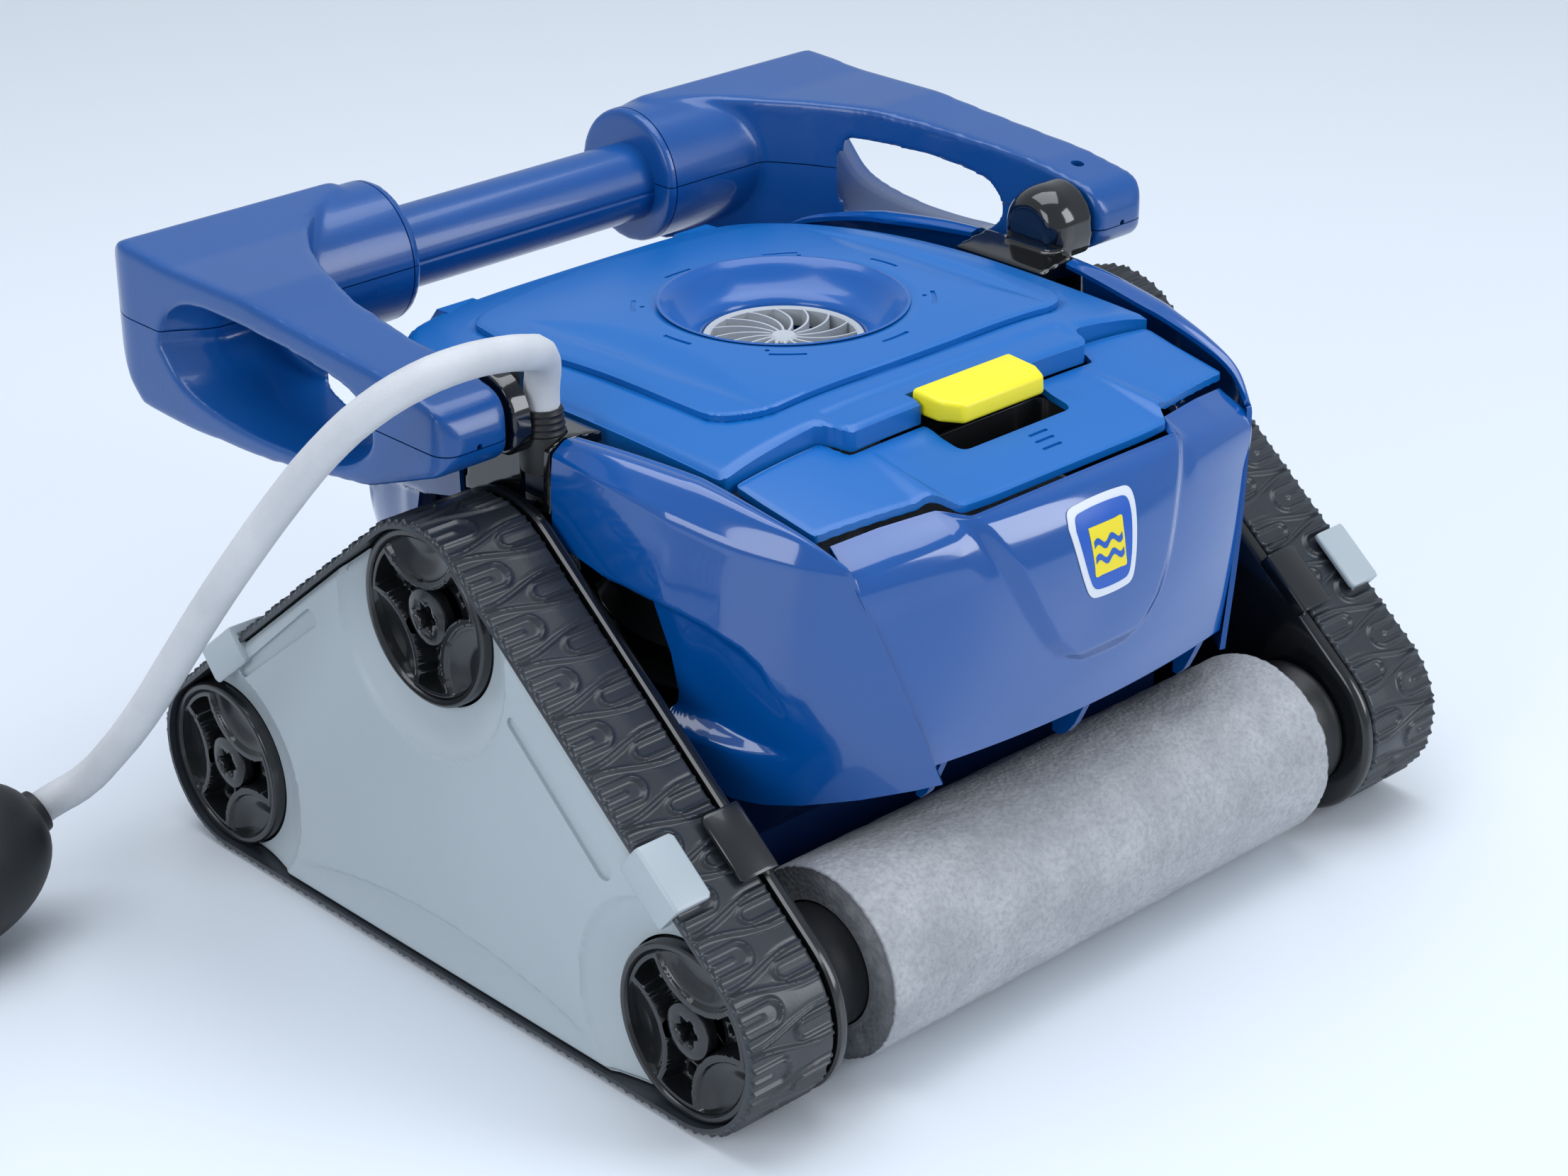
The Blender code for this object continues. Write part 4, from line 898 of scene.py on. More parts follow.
def bend(points, t):
    """A point at share t of a smooth line through the points."""
    knots = [Vector(p) for p in points]
    knots = [2 * knots[0] - knots[1], *knots, 2 * knots[-1] - knots[-2]]
    k = min(int(t * (len(knots) - 3)), len(knots) - 4)
    t = t * (len(knots) - 3) - k
    a, b, c, d = knots[k : k + 4]
    return (2 * b + t * (c - a) + t**2 * (2 * a - 5 * b + 4 * c - d) + t**3 * (3 * b - a - 3 * c + d)) / 2


def lookup(points, at):
    """A value between the nearest two of some (place, value) points."""
    for (a, low), (b, high) in zip(points, points[1:]):
        if at <= b:
            break
    share = min(max((at - a) / (b - a), 0.0), 1.0)
    return low + (high - low) * share


def wall(name, around, along, form, outward, thick, edge=0.0006):
    """A moulded wall: its outer side, its thickness behind that and a small round along its rim."""
    piece = skin(name, around, along, form)
    facing = sum((face.normal * face.area for face in piece.data.polygons), Vector())
    if facing.dot(Vector(outward)) < 0:
        bpy.ops.object.mode_set(mode="EDIT")
        bpy.ops.mesh.select_all(action="SELECT")
        bpy.ops.mesh.flip_normals()
        bpy.ops.object.mode_set(mode="OBJECT")
    modify(piece, "SOLIDIFY", thickness=thick, offset=-1)
    if edge:
        round_edges(piece, edge, 2, 60)
    return piece


# Stations from the pivot forward: the lid's edge, the crown, the crease, the flank and a lower line.
FENDER = [
    [
        (0.1425, -0.0215, 0.23), (0.149, -0.0215, 0.2308), (0.156, -0.0215, 0.2265), (0.1574, -0.0215, 0.208),
        (0.1565, -0.0215, 0.17),
    ],
    [
        (0.1375, -0.045, 0.2295), (0.146, -0.045, 0.2306), (0.1548, -0.045, 0.224), (0.1567, -0.045, 0.202),
        (0.156, -0.045, 0.15),
    ],
    [
        (0.1315, -0.075, 0.2278), (0.141, -0.075, 0.2288), (0.1518, -0.075, 0.2195), (0.1545, -0.075, 0.185),
        (0.151, -0.075, 0.106),
    ],
    [
        (0.13, -0.088, 0.2265), (0.1385, -0.088, 0.2272), (0.149, -0.088, 0.2165), (0.1522, -0.088, 0.162),
        (0.144, -0.088, 0.096),
    ],
    [
        (0.1275, -0.112, 0.222), (0.134, -0.112, 0.2222), (0.1418, -0.112, 0.211), (0.144, -0.112, 0.157),
        (0.1325, -0.112, 0.092),
    ],
    [
        (0.124, -0.132, 0.2165), (0.1275, -0.133, 0.2163), (0.1312, -0.135, 0.207), (0.1285, -0.138, 0.153),
        (0.112, -0.138, 0.095),
    ],
    [
        (0.1178, -0.1475, 0.2075), (0.1182, -0.149, 0.2062), (0.1172, -0.1505, 0.2035), (0.101, -0.161, 0.155),
        (0.0835, -0.169, 0.104),
    ],
]
FIN_LINE = [(-0.133, 0.1215), (-0.113, 0.1275), (-0.098, 0.132), (-0.075, 0.1345)]
SCOOP_TOP = [
    (-0.1335, 0.125), (-0.129, 0.149), (-0.122, 0.165), (-0.115, 0.171), (-0.102, 0.1765), (-0.082, 0.1815),
]
SCOOP_TOP += [(-0.06, 0.1835)]
SCOOP_DEEP = 0.0078
CROWN = 0.34  # The share of the fender's width that lies above its crease.
REAR_LENGTH, REAR_SHIFT = 0.86, 0.018  # The rear fenders are a shorter copy of the front ones.
FENDER_EDGE = [
    (0.01, 0.1908), (-0.0215, 0.1905), (-0.045, 0.1855), (-0.069, 0.1778), (-0.0775, 0.156), (-0.08, 0.14),
]
FENDER_EDGE += [
    (-0.079, 0.135), (-0.0772, 0.1325), (-0.0776, 0.127), (-0.081, 0.117), (-0.093, 0.106), (-0.103, 0.0992),
]
FENDER_EDGE += [
    (-0.115, 0.0982), (-0.127, 0.0992), (-0.145, 0.103), (-0.16, 0.1075), (-0.168, 0.1105), (-0.1712, 0.115),
]
FENDER_EDGE += [(-0.1712, 0.13), (-0.25, 0.13), (-0.25, 0.03), (0.05, 0.03), (0.05, 0.1908)]


def fender_point(u, v):
    crown, share = (True, v / CROWN) if v < CROWN else (False, (v - CROWN) / (1 - CROWN))
    rows = [bend([station[k] for station in FENDER], u) for k in range(5)]
    return bend(rows[:3] if crown else rows[2:], share)


def fender_form(side, side_y):
    def form(u, v):
        spot = fender_point(u, v)
        if abs(v - CROWN) < 0.02:
            spot = (spot + fender_point(u, v - 0.018) + fender_point(u, v + 0.018)) / 3
        x, y, z = spot
        if v > CROWN + 0.02:
            # The scoop falls in below its curved top and comes out again in the fin.
            fade = ramp(y, -0.1335, -0.09)
            fin = lookup(FIN_LINE, y)
            inside = ramp(lookup(SCOOP_TOP, y) - z, -0.0004, 0.0056) * ramp(
                z, fin - 0.0075 * fade - 0.0001, fin,
            )
            drop = SCOOP_DEEP * fade * inside - 0.0016 * fade * ramp(fin - z, 0.0, 0.008) * ramp(z, 0.1, 0.122)
            turn = math.radians(12 + 30 * ramp(-y, 0.085, 0.15))
            x -= drop * math.cos(turn)
            y += drop * math.sin(turn)
        if side_y > 0:
            y = -y * REAR_LENGTH + REAR_SHIFT
        return Vector((side * x, y, z))

    return form


# Gloss ABS: a deep blue pigment under a hard polished skin, so the studio's lamps show in it as clear shapes.
gloss_blue = moulded("gloss_blue_abs", "#014a94", "#0252a0", 0.13, mottle=6.0, coat=0.7)
for side, side_name in ((-1, "left"), (1, "right")):
    for side_y, place_name in ((-1, "front"), (1, "rear")):
        outward = (side, 0.6 * side_y, 0.8)
        fender = wall(
            f"fender_{place_name}_{side_name}_moulding", 160, 104, fender_form(side, side_y), outward, 0.0022,
            0,
        )
        outline = [(y if side_y < 0 else -y * REAR_LENGTH + REAR_SHIFT, z) for y, z in FENDER_EDGE]
        low, high = sorted((side * 0.06, side * 0.18))
        shape_with(fender, outline_prism("hem", outline, low, high))
        settle(
            fender, "hull", f"fender_{place_name}_{side_name}", slot="gloss_blue_plastic", look=gloss_blue,
            smooth=58,
        )

# ------------------------------------------------------------------ Side louvres
# Black ABS grilles close the tub's flanks between belt and fender: an upright plate, and long curved blades
# that are thick at their roots and drawn out to a thin edge.

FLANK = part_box("side_grille_right")[0].x
for side, side_name in ((-1, "left"), (1, "right")):
    low, high = sorted((side * FLANK, side * (FLANK + 0.003)))
    flank = outline_prism("flank", [(-0.08, 0.09), (0.08, 0.09), (0.074, 0.188), (-0.074, 0.188)], low, high)
    for side_y in (-1, 1):
        for k in range(5):

            def blade_form(u, v):
                share = min(max((v - 0.04) / 0.92, 0.0), 1.0)
                y = 0.02 + 0.06 * share
                rise = 0.104 + 0.018 * k + 0.009 * (1 - share) ** 1.6
                deep = 0.0022 + 0.0112 * math.sin(math.pi * min(max(share, 0.04), 0.96)) ** 0.6
                ring = [(-0.0012, -0.0022), (1.0, -0.0012), (1.0, -0.0002), (-0.0012, 0.0016)]
                reach, high = ring[round(u * 4) % 4]
                if v < 0.02 or v > 0.98:
                    reach, high = 0.4, -0.0006
                height = rise + high - 0.003 * max(reach, 0)
                return Vector((side * (FLANK + 0.0024 + reach * deep), side_y * y, height))

            blade = skin("blade", 4, 26, blade_form)
            shape_with(flank, blade, "UNION")
    drill(flank, "X", (0, *AXLES["top"]), 0.0068, *sorted((side * 0.12, side * 0.15)), steps=32)
    flank.name = f"side_louvres_{side_name}"
    settle(flank, "hull", f"side_grille_{side_name}", slot="gloss_black_plastic", look=gloss_abs, smooth=30)

# ------------------------------------------------------------------ Front and rear panels
# Gloss blue ABS shields between the fenders. The front one has a raised apron that narrows to a round foot,
# and short ribs under its hem keep leaves off the roller.

PANEL_ROWS = [
    (-0.163, 0.209, 0.113, -0.15, 0.2),
    (-0.1705, 0.19, 0.106, -0.1545, 0.18),
    (-0.1745, 0.162, 0.098, -0.159, 0.156),
    (-0.1735, 0.137, 0.089, -0.1625, 0.134),
    (-0.17, 0.1165, 0.0835, -0.164, 0.1175),
]
PANEL_TOP = [(0.0, -0.154), (0.0605, -0.1535), (0.0675, -0.144), (0.0935, -0.139), (0.1145, -0.1345)]
PANEL_TOP_Z = [(0.0, 0.2142), (0.0605, 0.2137), (0.0675, 0.2143), (0.0935, 0.2135), (0.1145, 0.211)]
APRON = [
    (0.14, 0.0), (0.142, 0.015), (0.147, 0.027), (0.156, 0.036), (0.17, 0.044), (0.19, 0.053), (0.214, 0.0665),
]
APRON_PROUD = 0.0034


def panel_point(share, t, front=True):
    """A point of the panel at a share of its half width and a share of its height, from the top."""
    if front:
        x = share * 0.1145
        rows = [(x, lookup(PANEL_TOP, abs(x)), lookup(PANEL_TOP_Z, abs(x)))]
    else:
        rows = [(share * 0.113, -0.156 + 0.0065 * share**2, 0.2085 - 0.0035 * share**2)]
    for middle_y, middle_z, edge_x, edge_y, edge_z in PANEL_ROWS if front else PANEL_ROWS[1:]:
        keep = 1 - share**2
        y, z = edge_y + (middle_y - edge_y) * keep, edge_z + (middle_z - edge_z) * keep
        rows.append((share * edge_x * 1.035, y, z))
    return bend(rows, t)


def front_form(u, v):
    spot = panel_point(2 * u - 1, v)
    half = lookup(APRON, spot.z)
    inside = min(half - abs(spot.x), (spot.z - 0.14) * 1.2)
    proud = APRON_PROUD * ramp(inside, 0.0, 0.0085)
    return spot + Vector((0, -0.92 * proud, 0.25 * proud if v > 0.05 else 0.0))


front_panel = wall("front_panel_moulding", 190, 110, front_form, (0, -1, 0.4), 0.0028, 0.0007)
for x in (-0.078, 0.0, 0.078):
    if x:
        leaf_rib = [
            (-0.164, 0.1205), (-0.157, 0.105), (-0.154, 0.099), (-0.1505, 0.0955), (-0.148, 0.096),
            (-0.1485, 0.119),
        ]
    else:
        leaf_rib = [
            (-0.169, 0.119), (-0.162, 0.1045), (-0.158, 0.099), (-0.154, 0.0965), (-0.15, 0.097),
            (-0.1495, 0.118),
        ]
    shape_with(front_panel, outline_prism("leaf_rib", leaf_rib, x - 0.0019, x + 0.0019), "UNION")
settle(front_panel, "hull", "front_panel", slot="gloss_blue_plastic", look=gloss_blue, smooth=38)


def rear_form(u, v):
    """The rear panel follows the front one's lines, with a shallow step across its middle."""
    spot = panel_point(2 * u - 1, v, front=False)
    proud = 0.0018 * ramp(spot.z, 0.15, 0.154) * ramp(0.1 - abs(spot.x), 0.0, 0.006)
    return Vector((spot.x, -spot.y + proud - 0.0012, spot.z))


rear_panel = wall("rear_panel_moulding", 120, 70, rear_form, (0, 1, 0.4), 0.0028, 0.0007)
settle(rear_panel, "hull", "rear_panel", slot="gloss_blue_plastic", look=gloss_blue, smooth=38)

# ------------------------------------------------------------------ Badge
# A plain generic shield under clear vinyl: a white rim, a blue field and a yellow tile with two waves. Each
# layer is a printed film a fraction of a millimetre thick, glued to the apron.


def on_front(x, z, proud):
    """A point on the front panel at a given x and height."""
    low, high = 0.0, 1.0
    for _ in range(24):
        middle = (low + high) / 2
        spot = front_form(0.5 + x / 0.2, middle)
        spot = front_form(0.5 + x / 0.2 + (x - spot.x) / 0.21, middle)
        if spot.z > z:
            low = middle
        else:
            high = middle
    return Vector((x, spot.y - proud, z))


BADGE_Z = 0.1878
SHIELD = [(-0.0195, 0.012), (-0.018, 0.0182), (-0.011, 0.0196), (0.0, 0.02), (0.011, 0.0196), (0.018, 0.0182)]
SHIELD += [(0.0195, 0.012), (0.0175, 0.0), (0.015, -0.011), (0.012, -0.0175), (0.006, -0.019), (-0.006, -0.019)]
SHIELD += [(-0.012, -0.0175), (-0.015, -0.011), (-0.0175, 0.0), (-0.0195, 0.012)]


def film(name, outline, proud, colour, gloss):
    """A printed film that follows the panel, filled in rings from its outline to its middle."""

    def form(u, v):
        x, z = bend([(x, z, 0) for x, z in outline], u % 1.0)[:2]
        return on_front(x * (1 - v), BADGE_Z + z * (1 - v) if v < 1 else BADGE_Z, proud)

    piece = wall(name, 60, 6, form, (0, -1, 0), 0.00035, 0)
    settle(
        piece, "hull", slot="gloss_blue_plastic",
        look=moulded(f"{name}_print", colour, colour, gloss, mottle=90.0), smooth=45,
    )


film("badge_rim", SHIELD, 0.0005, "#d9dee6", 0.3)
film("badge_field", [(x * 0.82, z * 0.84 + 0.0002) for x, z in SHIELD], 0.00072, "#0b55b8", 0.25)
TILE = [(-0.0098, 0.0098), (0.0098, 0.0098), (0.009, -0.01), (-0.009, -0.01)]
tile = [
    (a[0] + (b[0] - a[0]) * k / 5, a[1] + (b[1] - a[1]) * k / 5)
    for a, b in zip(TILE, TILE[1:] + TILE[:1])
    for k in range(5)
]
film("badge_tile", [*tile, tile[0]], 0.00092, "#f0dc1e", 0.3)
for k, low in enumerate((-0.005, 0.0012)):

    def wave_form(u, v):
        x = -0.0082 + 0.0164 * u
        return on_front(x, BADGE_Z + low + 0.0013 * math.sin(750 * x) + 0.0026 * v, 0.00112)

    strip = wall(f"badge_wave_{k + 1}", 32, 3, wave_form, (0, -1, 0), 0.0003, 0)
    settle(strip, "hull", slot="gloss_blue_plastic", look=bpy.data.materials["badge_field_print"], smooth=45)

# ------------------------------------------------------------------ Front deck
# A satin blue ABS apron ahead of the lid. Its front edge steps back at two notches, a crease runs back from
# each, three small grip dashes are let in by the latch, and a well leaves room for the fingers.


def rounded(outline, radius, steps=5):
    """An outline with its corners rounded off."""
    found = []
    count = len(outline)
    for k in range(count):
        before, here, after = (Vector(outline[(k + step) % count]) for step in (-1, 0, 1))
        back, on = before - here, after - here
        cut = min(radius, back.length * 0.45, on.length * 0.45)
        start, end = here + back.normalized() * cut, here + on.normalized() * cut
        for step in range(steps + 1):
            t = step / steps
            found.append(tuple(start * (1 - t) ** 2 + here * 2 * t * (1 - t) + end * t**2))
    return found


def rim_distance(x, y, outline):
    """How far a point is from the nearest part of an outline."""
    nearest = 1.0
    for (ax, ay), (bx, by) in zip(outline, outline[1:] + outline[:1]):
        dx, dy = bx - ax, by - ay
        share = ((x - ax) * dx + (y - ay) * dy) / (dx * dx + dy * dy + 1e-12)
        share = min(max(share, 0.0), 1.0)
        nearest = min(nearest, math.hypot(x - ax - dx * share, y - ay - dy * share))
    return nearest


def plate(name, outline, top, deep, cell=0.0018, roll=0.002, skirt=0.0):
    """A moulded cover from above: top(x, y) over its outline, a rolled rim, and a skirt under the rim."""
    xs, ys = [x for x, _ in outline], [y for _, y in outline]
    left, right, front, rear = min(xs) - 0.001, max(xs) + 0.001, min(ys) - 0.001, max(ys) + 0.001
    across, along = round((right - left) / cell), round((rear - front) / cell)
    heights = []
    for j in range(along + 1):
        row = []
        for i in range(across + 1):
            x, y = left + (right - left) * i / across, front + (rear - front) * j / along
            rim = rim_distance(x, y, outline)
            surface = top(x, y) - roll * (1 - ramp(rim, -0.0012, 2.0 * roll)) ** 1.4
            row.append((x, y, surface, skirt if skirt and rim < 0.003 else deep))
        heights.append(row)

    def form(u, v):
        row = round(v * (along + 2))
        k = round(u * (2 * across + 2)) % (2 * across + 2)
        over = k <= across
        x, y, surface, thick = heights[min(max(row - 1, 0), along)][k if over else 2 * across + 1 - k]
        if row in (0, along + 2):
            return Vector((x, y, surface - thick / 2))
        return Vector((x, y, surface if over else surface - thick))

    piece = skin(name, 2 * across + 2, along + 2, form)
    return shape_with(piece, outline_prism("trim", outline, 0.15, 0.3, axis="Z"), "INTERSECT")


def mirrored_outline(half):
    """A whole outline from its right half, which runs from the front middle to the rear middle."""
    return [(x, y) for x, y in half] + [(-x, y) for x, y in reversed(half) if x > 0.0001]


DECK_HALF = [(0.0001, -0.152), (0.036, -0.152), (0.06, -0.1515), (0.0665, -0.1412), (0.075, -0.1395)]
DECK_HALF += [
    (0.095, -0.136), (0.1195, -0.1312), (0.1205, -0.0885), (0.0752, -0.0885), (0.0712, -0.1015),
    (0.0001, -0.1015),
]


def deck_top(x, y):
    surface = 0.2262 - 0.19 * (-0.1015 - y) - 0.005 * (abs(x) / 0.121) ** 4
    # A crease starts as a point behind each notch and grows to its corner.
    share = min(max((-y - 0.103) / 0.042, 0.0), 1.0)
    line = 0.063 + 0.0035 * share
    off = abs(x) - line
    inner, outer = ramp(off, -0.007 * share - 0.0004, -0.0002), 1 - ramp(off, 0.0002, 0.003 + 0.007 * share)
    surface += 0.0022 * share * inner * outer
    surface -= 0.0007 * ramp(0.06 - abs(x), 0.0, 0.02) * ramp(-y, 0.106, 0.112)
    return surface


# Satin ABS: the same blue pigment, but from a finely etched tool, so light lies on it as a broad soft sheen.
satin_blue = moulded("satin_blue_abs", "#0460ae", "#0869b8", 0.3, grain=0.0007, strength=0.06, mottle=7.0)
deck = plate(
    "front_deck_moulding", rounded(mirrored_outline(DECK_HALF), 0.0022), deck_top, 0.003, cell=0.0013,
    roll=0.0011,
)
well = rounded([(-0.03, -0.123), (0.035, -0.123), (0.035, -0.09), (-0.03, -0.09)], 0.005)
shape_with(deck, outline_prism("well", well, 0.19, 0.25, axis="Z"))
for dash_x, dash_y in ((0.0075, -0.129), (0.0062, -0.1338), (0.005, -0.139)):
    corners = [(-0.0055, -0.0008), (0.0055, -0.0008), (0.0055, 0.0008), (-0.0055, 0.0008)]
    dash = rounded([(dash_x + a, dash_y + b) for a, b in corners], 0.0007)
    shape_with(deck, outline_prism("dash", dash, deck_top(dash_x, dash_y) - 0.0009, 0.25, axis="Z"))
settle(deck, "hull", "front_deck", slot="gloss_blue_plastic", look=satin_blue, smooth=32)
basin = outline_prism(
    "latch_well", rounded([(-0.0335, -0.1265), (0.0385, -0.1265), (0.0385, -0.102), (-0.0335, -0.102)], 0.006),
    0.206, 0.2206, axis="Z",
)
hollow = rounded([(-0.0312, -0.1242), (0.0362, -0.1242), (0.0362, -0.104), (-0.0312, -0.104)], 0.005)
shape_with(basin, outline_prism("hollow", hollow, 0.208, 0.24, axis="Z"))
round_edges(basin, 0.0006, 2, 50)
settle(basin, "hull", slot="gloss_black_plastic", look=gloss_abs, smooth=35)

# ------------------------------------------------------------------ Lid
# A satin blue ABS shell with a rolled rim and a skirt, hinged at the rear, and a raised panel set on it.
# Long creases run down both sides of the panel, and eight small clip slots ring the outlet.

OUTLET_Y = middle_of("outlet_funnel")[0]
OUTLET_RADIUS = (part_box("outlet_funnel")[1].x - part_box("outlet_funnel")[0].x) / 2
LID_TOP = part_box("lid_panel")[1].z - 0.0026


def lid_top(x, y):
    fall = 0.3 * y**2 if y < 0 else 0.85 * y**2
    return LID_TOP - 0.0115 * (abs(x) / 0.127) ** 4 - fall


LID_HALF = [(0.0001, -0.1), (0.07, -0.1), (0.0738, -0.087), (0.1235, -0.0862), (0.1253, -0.083), (0.1255, 0.09)]
LID_HALF += [(0.116, 0.125), (0.098, 0.144), (0.0735, 0.1472), (0.0001, 0.148)]
PANEL_HALF = [
    (0.0001, -0.0695), (0.085, -0.068), (0.101, -0.056), (0.103, 0.07), (0.09, 0.113), (0.0001, 0.129),
]
panel_outline = rounded(mirrored_outline(PANEL_HALF), 0.013, 7)


def shell_top(x, y):
    surface = lid_top(x, y)
    # The middle of the front edge stands a little lower, behind a small step on each side.
    surface -= 0.0012 * ramp(0.072 - abs(x), 0.0, 0.0035) * ramp(-y, 0.08, 0.083)
    # A shallow tray takes the panel.
    if abs(x) < 0.108 and -0.074 < y < 0.134:
        inside = rim_distance(x, y, panel_outline)
        if inside < 0.0022:
            surface -= 0.001 * ramp(0.0022 - inside, 0.0, 0.001)
    return surface


lid_shell = plate(
    "lid_shell_moulding", rounded(mirrored_outline(LID_HALF), 0.008), shell_top, 0.0028, roll=0.0022,
    skirt=0.0082,
)
drill(lid_shell, "Z", (0, OUTLET_Y, 0), OUTLET_RADIUS - 0.001, 0.2, 0.28)
latch_seat = [(-0.0302, -0.12), (0.0302, -0.12), (0.0302, -0.0908), (-0.0302, -0.0908)]
shape_with(lid_shell, outline_prism("seat", latch_seat, 0.2, 0.26, axis="Z"))
HINGE_Y, HINGE_Z = middle_of("lid_hinge_pin")
for side in (-1, 1):
    near, far = sorted((side * 0.06, side * 0.08))
    lug = [(HINGE_Y - 0.0125, HINGE_Z + 0.004), (HINGE_Y - 0.0045, HINGE_Z - 0.001)]
    lug += arc_points((HINGE_Y - 0.0005, HINGE_Z), 0.0045, -160, 40, 12) + [
        (HINGE_Y - 0.002, HINGE_Z + 0.009), (HINGE_Y - 0.0125, HINGE_Z + 0.0095),
    ]
    shape_with(lid_shell, outline_prism("lug", lug, near, far), "UNION")
drill(lid_shell, "X", (0, HINGE_Y, HINGE_Z), 0.0023, -0.1, 0.1, steps=24)
settle(lid_shell, "lid", "lid_shell", slot="gloss_blue_plastic", look=satin_blue, smooth=32)


def panel_top(x, y):
    surface = lid_top(x, y) + 0.0022
    # Each crease is steep on its outer side and long and soft on its inner side, and fades out at both ends.
    along = ramp(y, -0.075, -0.004) * ramp(-y, -0.093, -0.033)
    off = abs(x) - 0.0835 + 0.001 * math.sin((y + 0.079) / 0.172 * math.pi)
    inner, outer = ramp(off, -0.015 * along - 0.001, -0.0008), 1 - ramp(off, 0.0, 0.0014 + 0.008 * along)
    surface -= 0.0018 * along * inner * outer
    reach = math.hypot(x, y - OUTLET_Y)
    # The panel dishes in softly round the funnel's mouth.
    surface -= 0.0009 * (1 - ramp(reach, OUTLET_RADIUS, OUTLET_RADIUS + 0.006))
    return surface


lid_panel = plate("lid_panel_moulding", panel_outline, panel_top, 0.0024, cell=0.0012, roll=0.0012)
drill(lid_panel, "Z", (0, OUTLET_Y, 0), OUTLET_RADIUS - 0.0004, 0.2, 0.28)
for turn in (40, 140, 220, 320):
    hole = (0.06 * math.cos(math.radians(turn)), OUTLET_Y + 0.06 * math.sin(math.radians(turn)), 0)
    drill(lid_panel, "Z", hole, 0.0011, 0.2, 0.28, steps=16)
for turn in range(3, 360, 45):
    slot = arc_points((0, OUTLET_Y), 0.065, turn - 7, turn + 7, 8) + arc_points(
        (0, OUTLET_Y), 0.063, turn + 7, turn - 7, 8,
    )
    floor = panel_top(*slot[4]) - 0.0007
    shape_with(lid_panel, outline_prism("clip_slot", slot, floor, 0.28, axis="Z"))
settle(lid_panel, "lid", "lid_panel", slot="gloss_blue_plastic", look=satin_blue, smooth=32)

# ------------------------------------------------------------------ Outlet funnel and grille
# A half-gloss blue ABS bowl leads up from the pump, and a grey ABS grille keeps fingers out of it. The grille
# is one moulding: a ring, a hub and curved blades between them.

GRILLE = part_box("outlet_grille")
THROAT = GRILLE[1].x
RIM_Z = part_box("outlet_funnel")[1].z
bowl = [(0.21, THROAT + 0.0003), (0.2262, THROAT + 0.0004), (0.2276, THROAT + 0.001), (0.229, THROAT + 0.0026)]
for k in range(9):
    share = k / 8
    bowl.append((0.23 + 0.0096 * share**1.5, THROAT + 0.004 + 0.0108 * share))
bowl += [
    (RIM_Z - 0.0008, OUTLET_RADIUS - 0.0016), (RIM_Z + 0.0008, OUTLET_RADIUS + 0.0004),
    (RIM_Z + 0.0006, OUTLET_RADIUS + 0.0018),
]
bowl += [
    (RIM_Z - 0.0004, OUTLET_RADIUS - 0.0002), (RIM_Z - 0.0095, OUTLET_RADIUS - 0.004),
    (0.224, THROAT + 0.0036), (0.21, THROAT + 0.0022),
]
bowl += [(0.21, THROAT + 0.0003)]
funnel = turned("outlet_funnel_moulding", bowl, 128, axis="Z", centre=(0, OUTLET_Y, 0))
bowl_blue = moulded("half_gloss_blue_abs", "#04529f", "#0a5dae", 0.22, mottle=9.0, coat=0.2)
settle(funnel, "lid", "outlet_funnel", slot="gloss_blue_plastic", look=bowl_blue, smooth=38)

ring = [(GRILLE[0].z, THROAT - 0.0032), (GRILLE[1].z - 0.0006, THROAT - 0.0034), (GRILLE[1].z, THROAT - 0.0028)]
ring += [
    (GRILLE[1].z, THROAT - 0.0006), (GRILLE[1].z - 0.0006, THROAT), (GRILLE[0].z, THROAT),
    (GRILLE[0].z, THROAT - 0.0032),
]
grille = turned("outlet_grille_moulding", ring, 96, axis="Z", centre=(0, OUTLET_Y, 0))
hub_profile = [(GRILLE[0].z, 0), (GRILLE[0].z, 0.007), (GRILLE[1].z - 0.0015, 0.0066)]
hub_profile += [(GRILLE[1].z, 0.0048), (GRILLE[1].z, 0)]
hub = turned("hub", hub_profile, 40, axis="Z", centre=(0, OUTLET_Y, 0))
shape_with(grille, hub, "UNION")
BLADES = 16
for k in range(BLADES):

    def vane_form(u, v):
        """A blade that sweeps round as it runs out, thicker at its foot."""
        out = 0.005 + (THROAT - 0.0012 - 0.005) * min(max((v - 0.05) / 0.9, 0.0), 1.0)
        sweep = math.tau * k / BLADES + 0.62 * (out / THROAT) ** 1.5
        foot, top = GRILLE[0].z + 0.0006, GRILLE[1].z - 0.0004
        section = [(-0.0008, foot), (0.0008, foot), (0.00052, top), (-0.00052, top)]
        side_step, height = section[round(u * 4) % 4]
        if v < 0.03 or v > 0.97:
            side_step, height = 0.0, (GRILLE[0].z + GRILLE[1].z) / 2
        x = out * math.cos(sweep) - side_step * math.sin(sweep)
        return Vector((x, OUTLET_Y + out * math.sin(sweep) + side_step * math.cos(sweep), height))

    shape_with(grille, skin("vane", 4, 12, vane_form), "UNION")
grille_abs = moulded("light_grey_abs", "#b4b9bd", "#c2c6ca", 0.38, grain=0.0006, strength=0.1)
settle(grille, "lid", "outlet_grille", slot="grey_plastic", look=grille_abs, smooth=35)

# ------------------------------------------------------------------ Latch
# A bright yellow acetal button, pivoted on a pin under its rear edge. It is one solid moulding with well
# rounded corners, and its top falls towards the front.

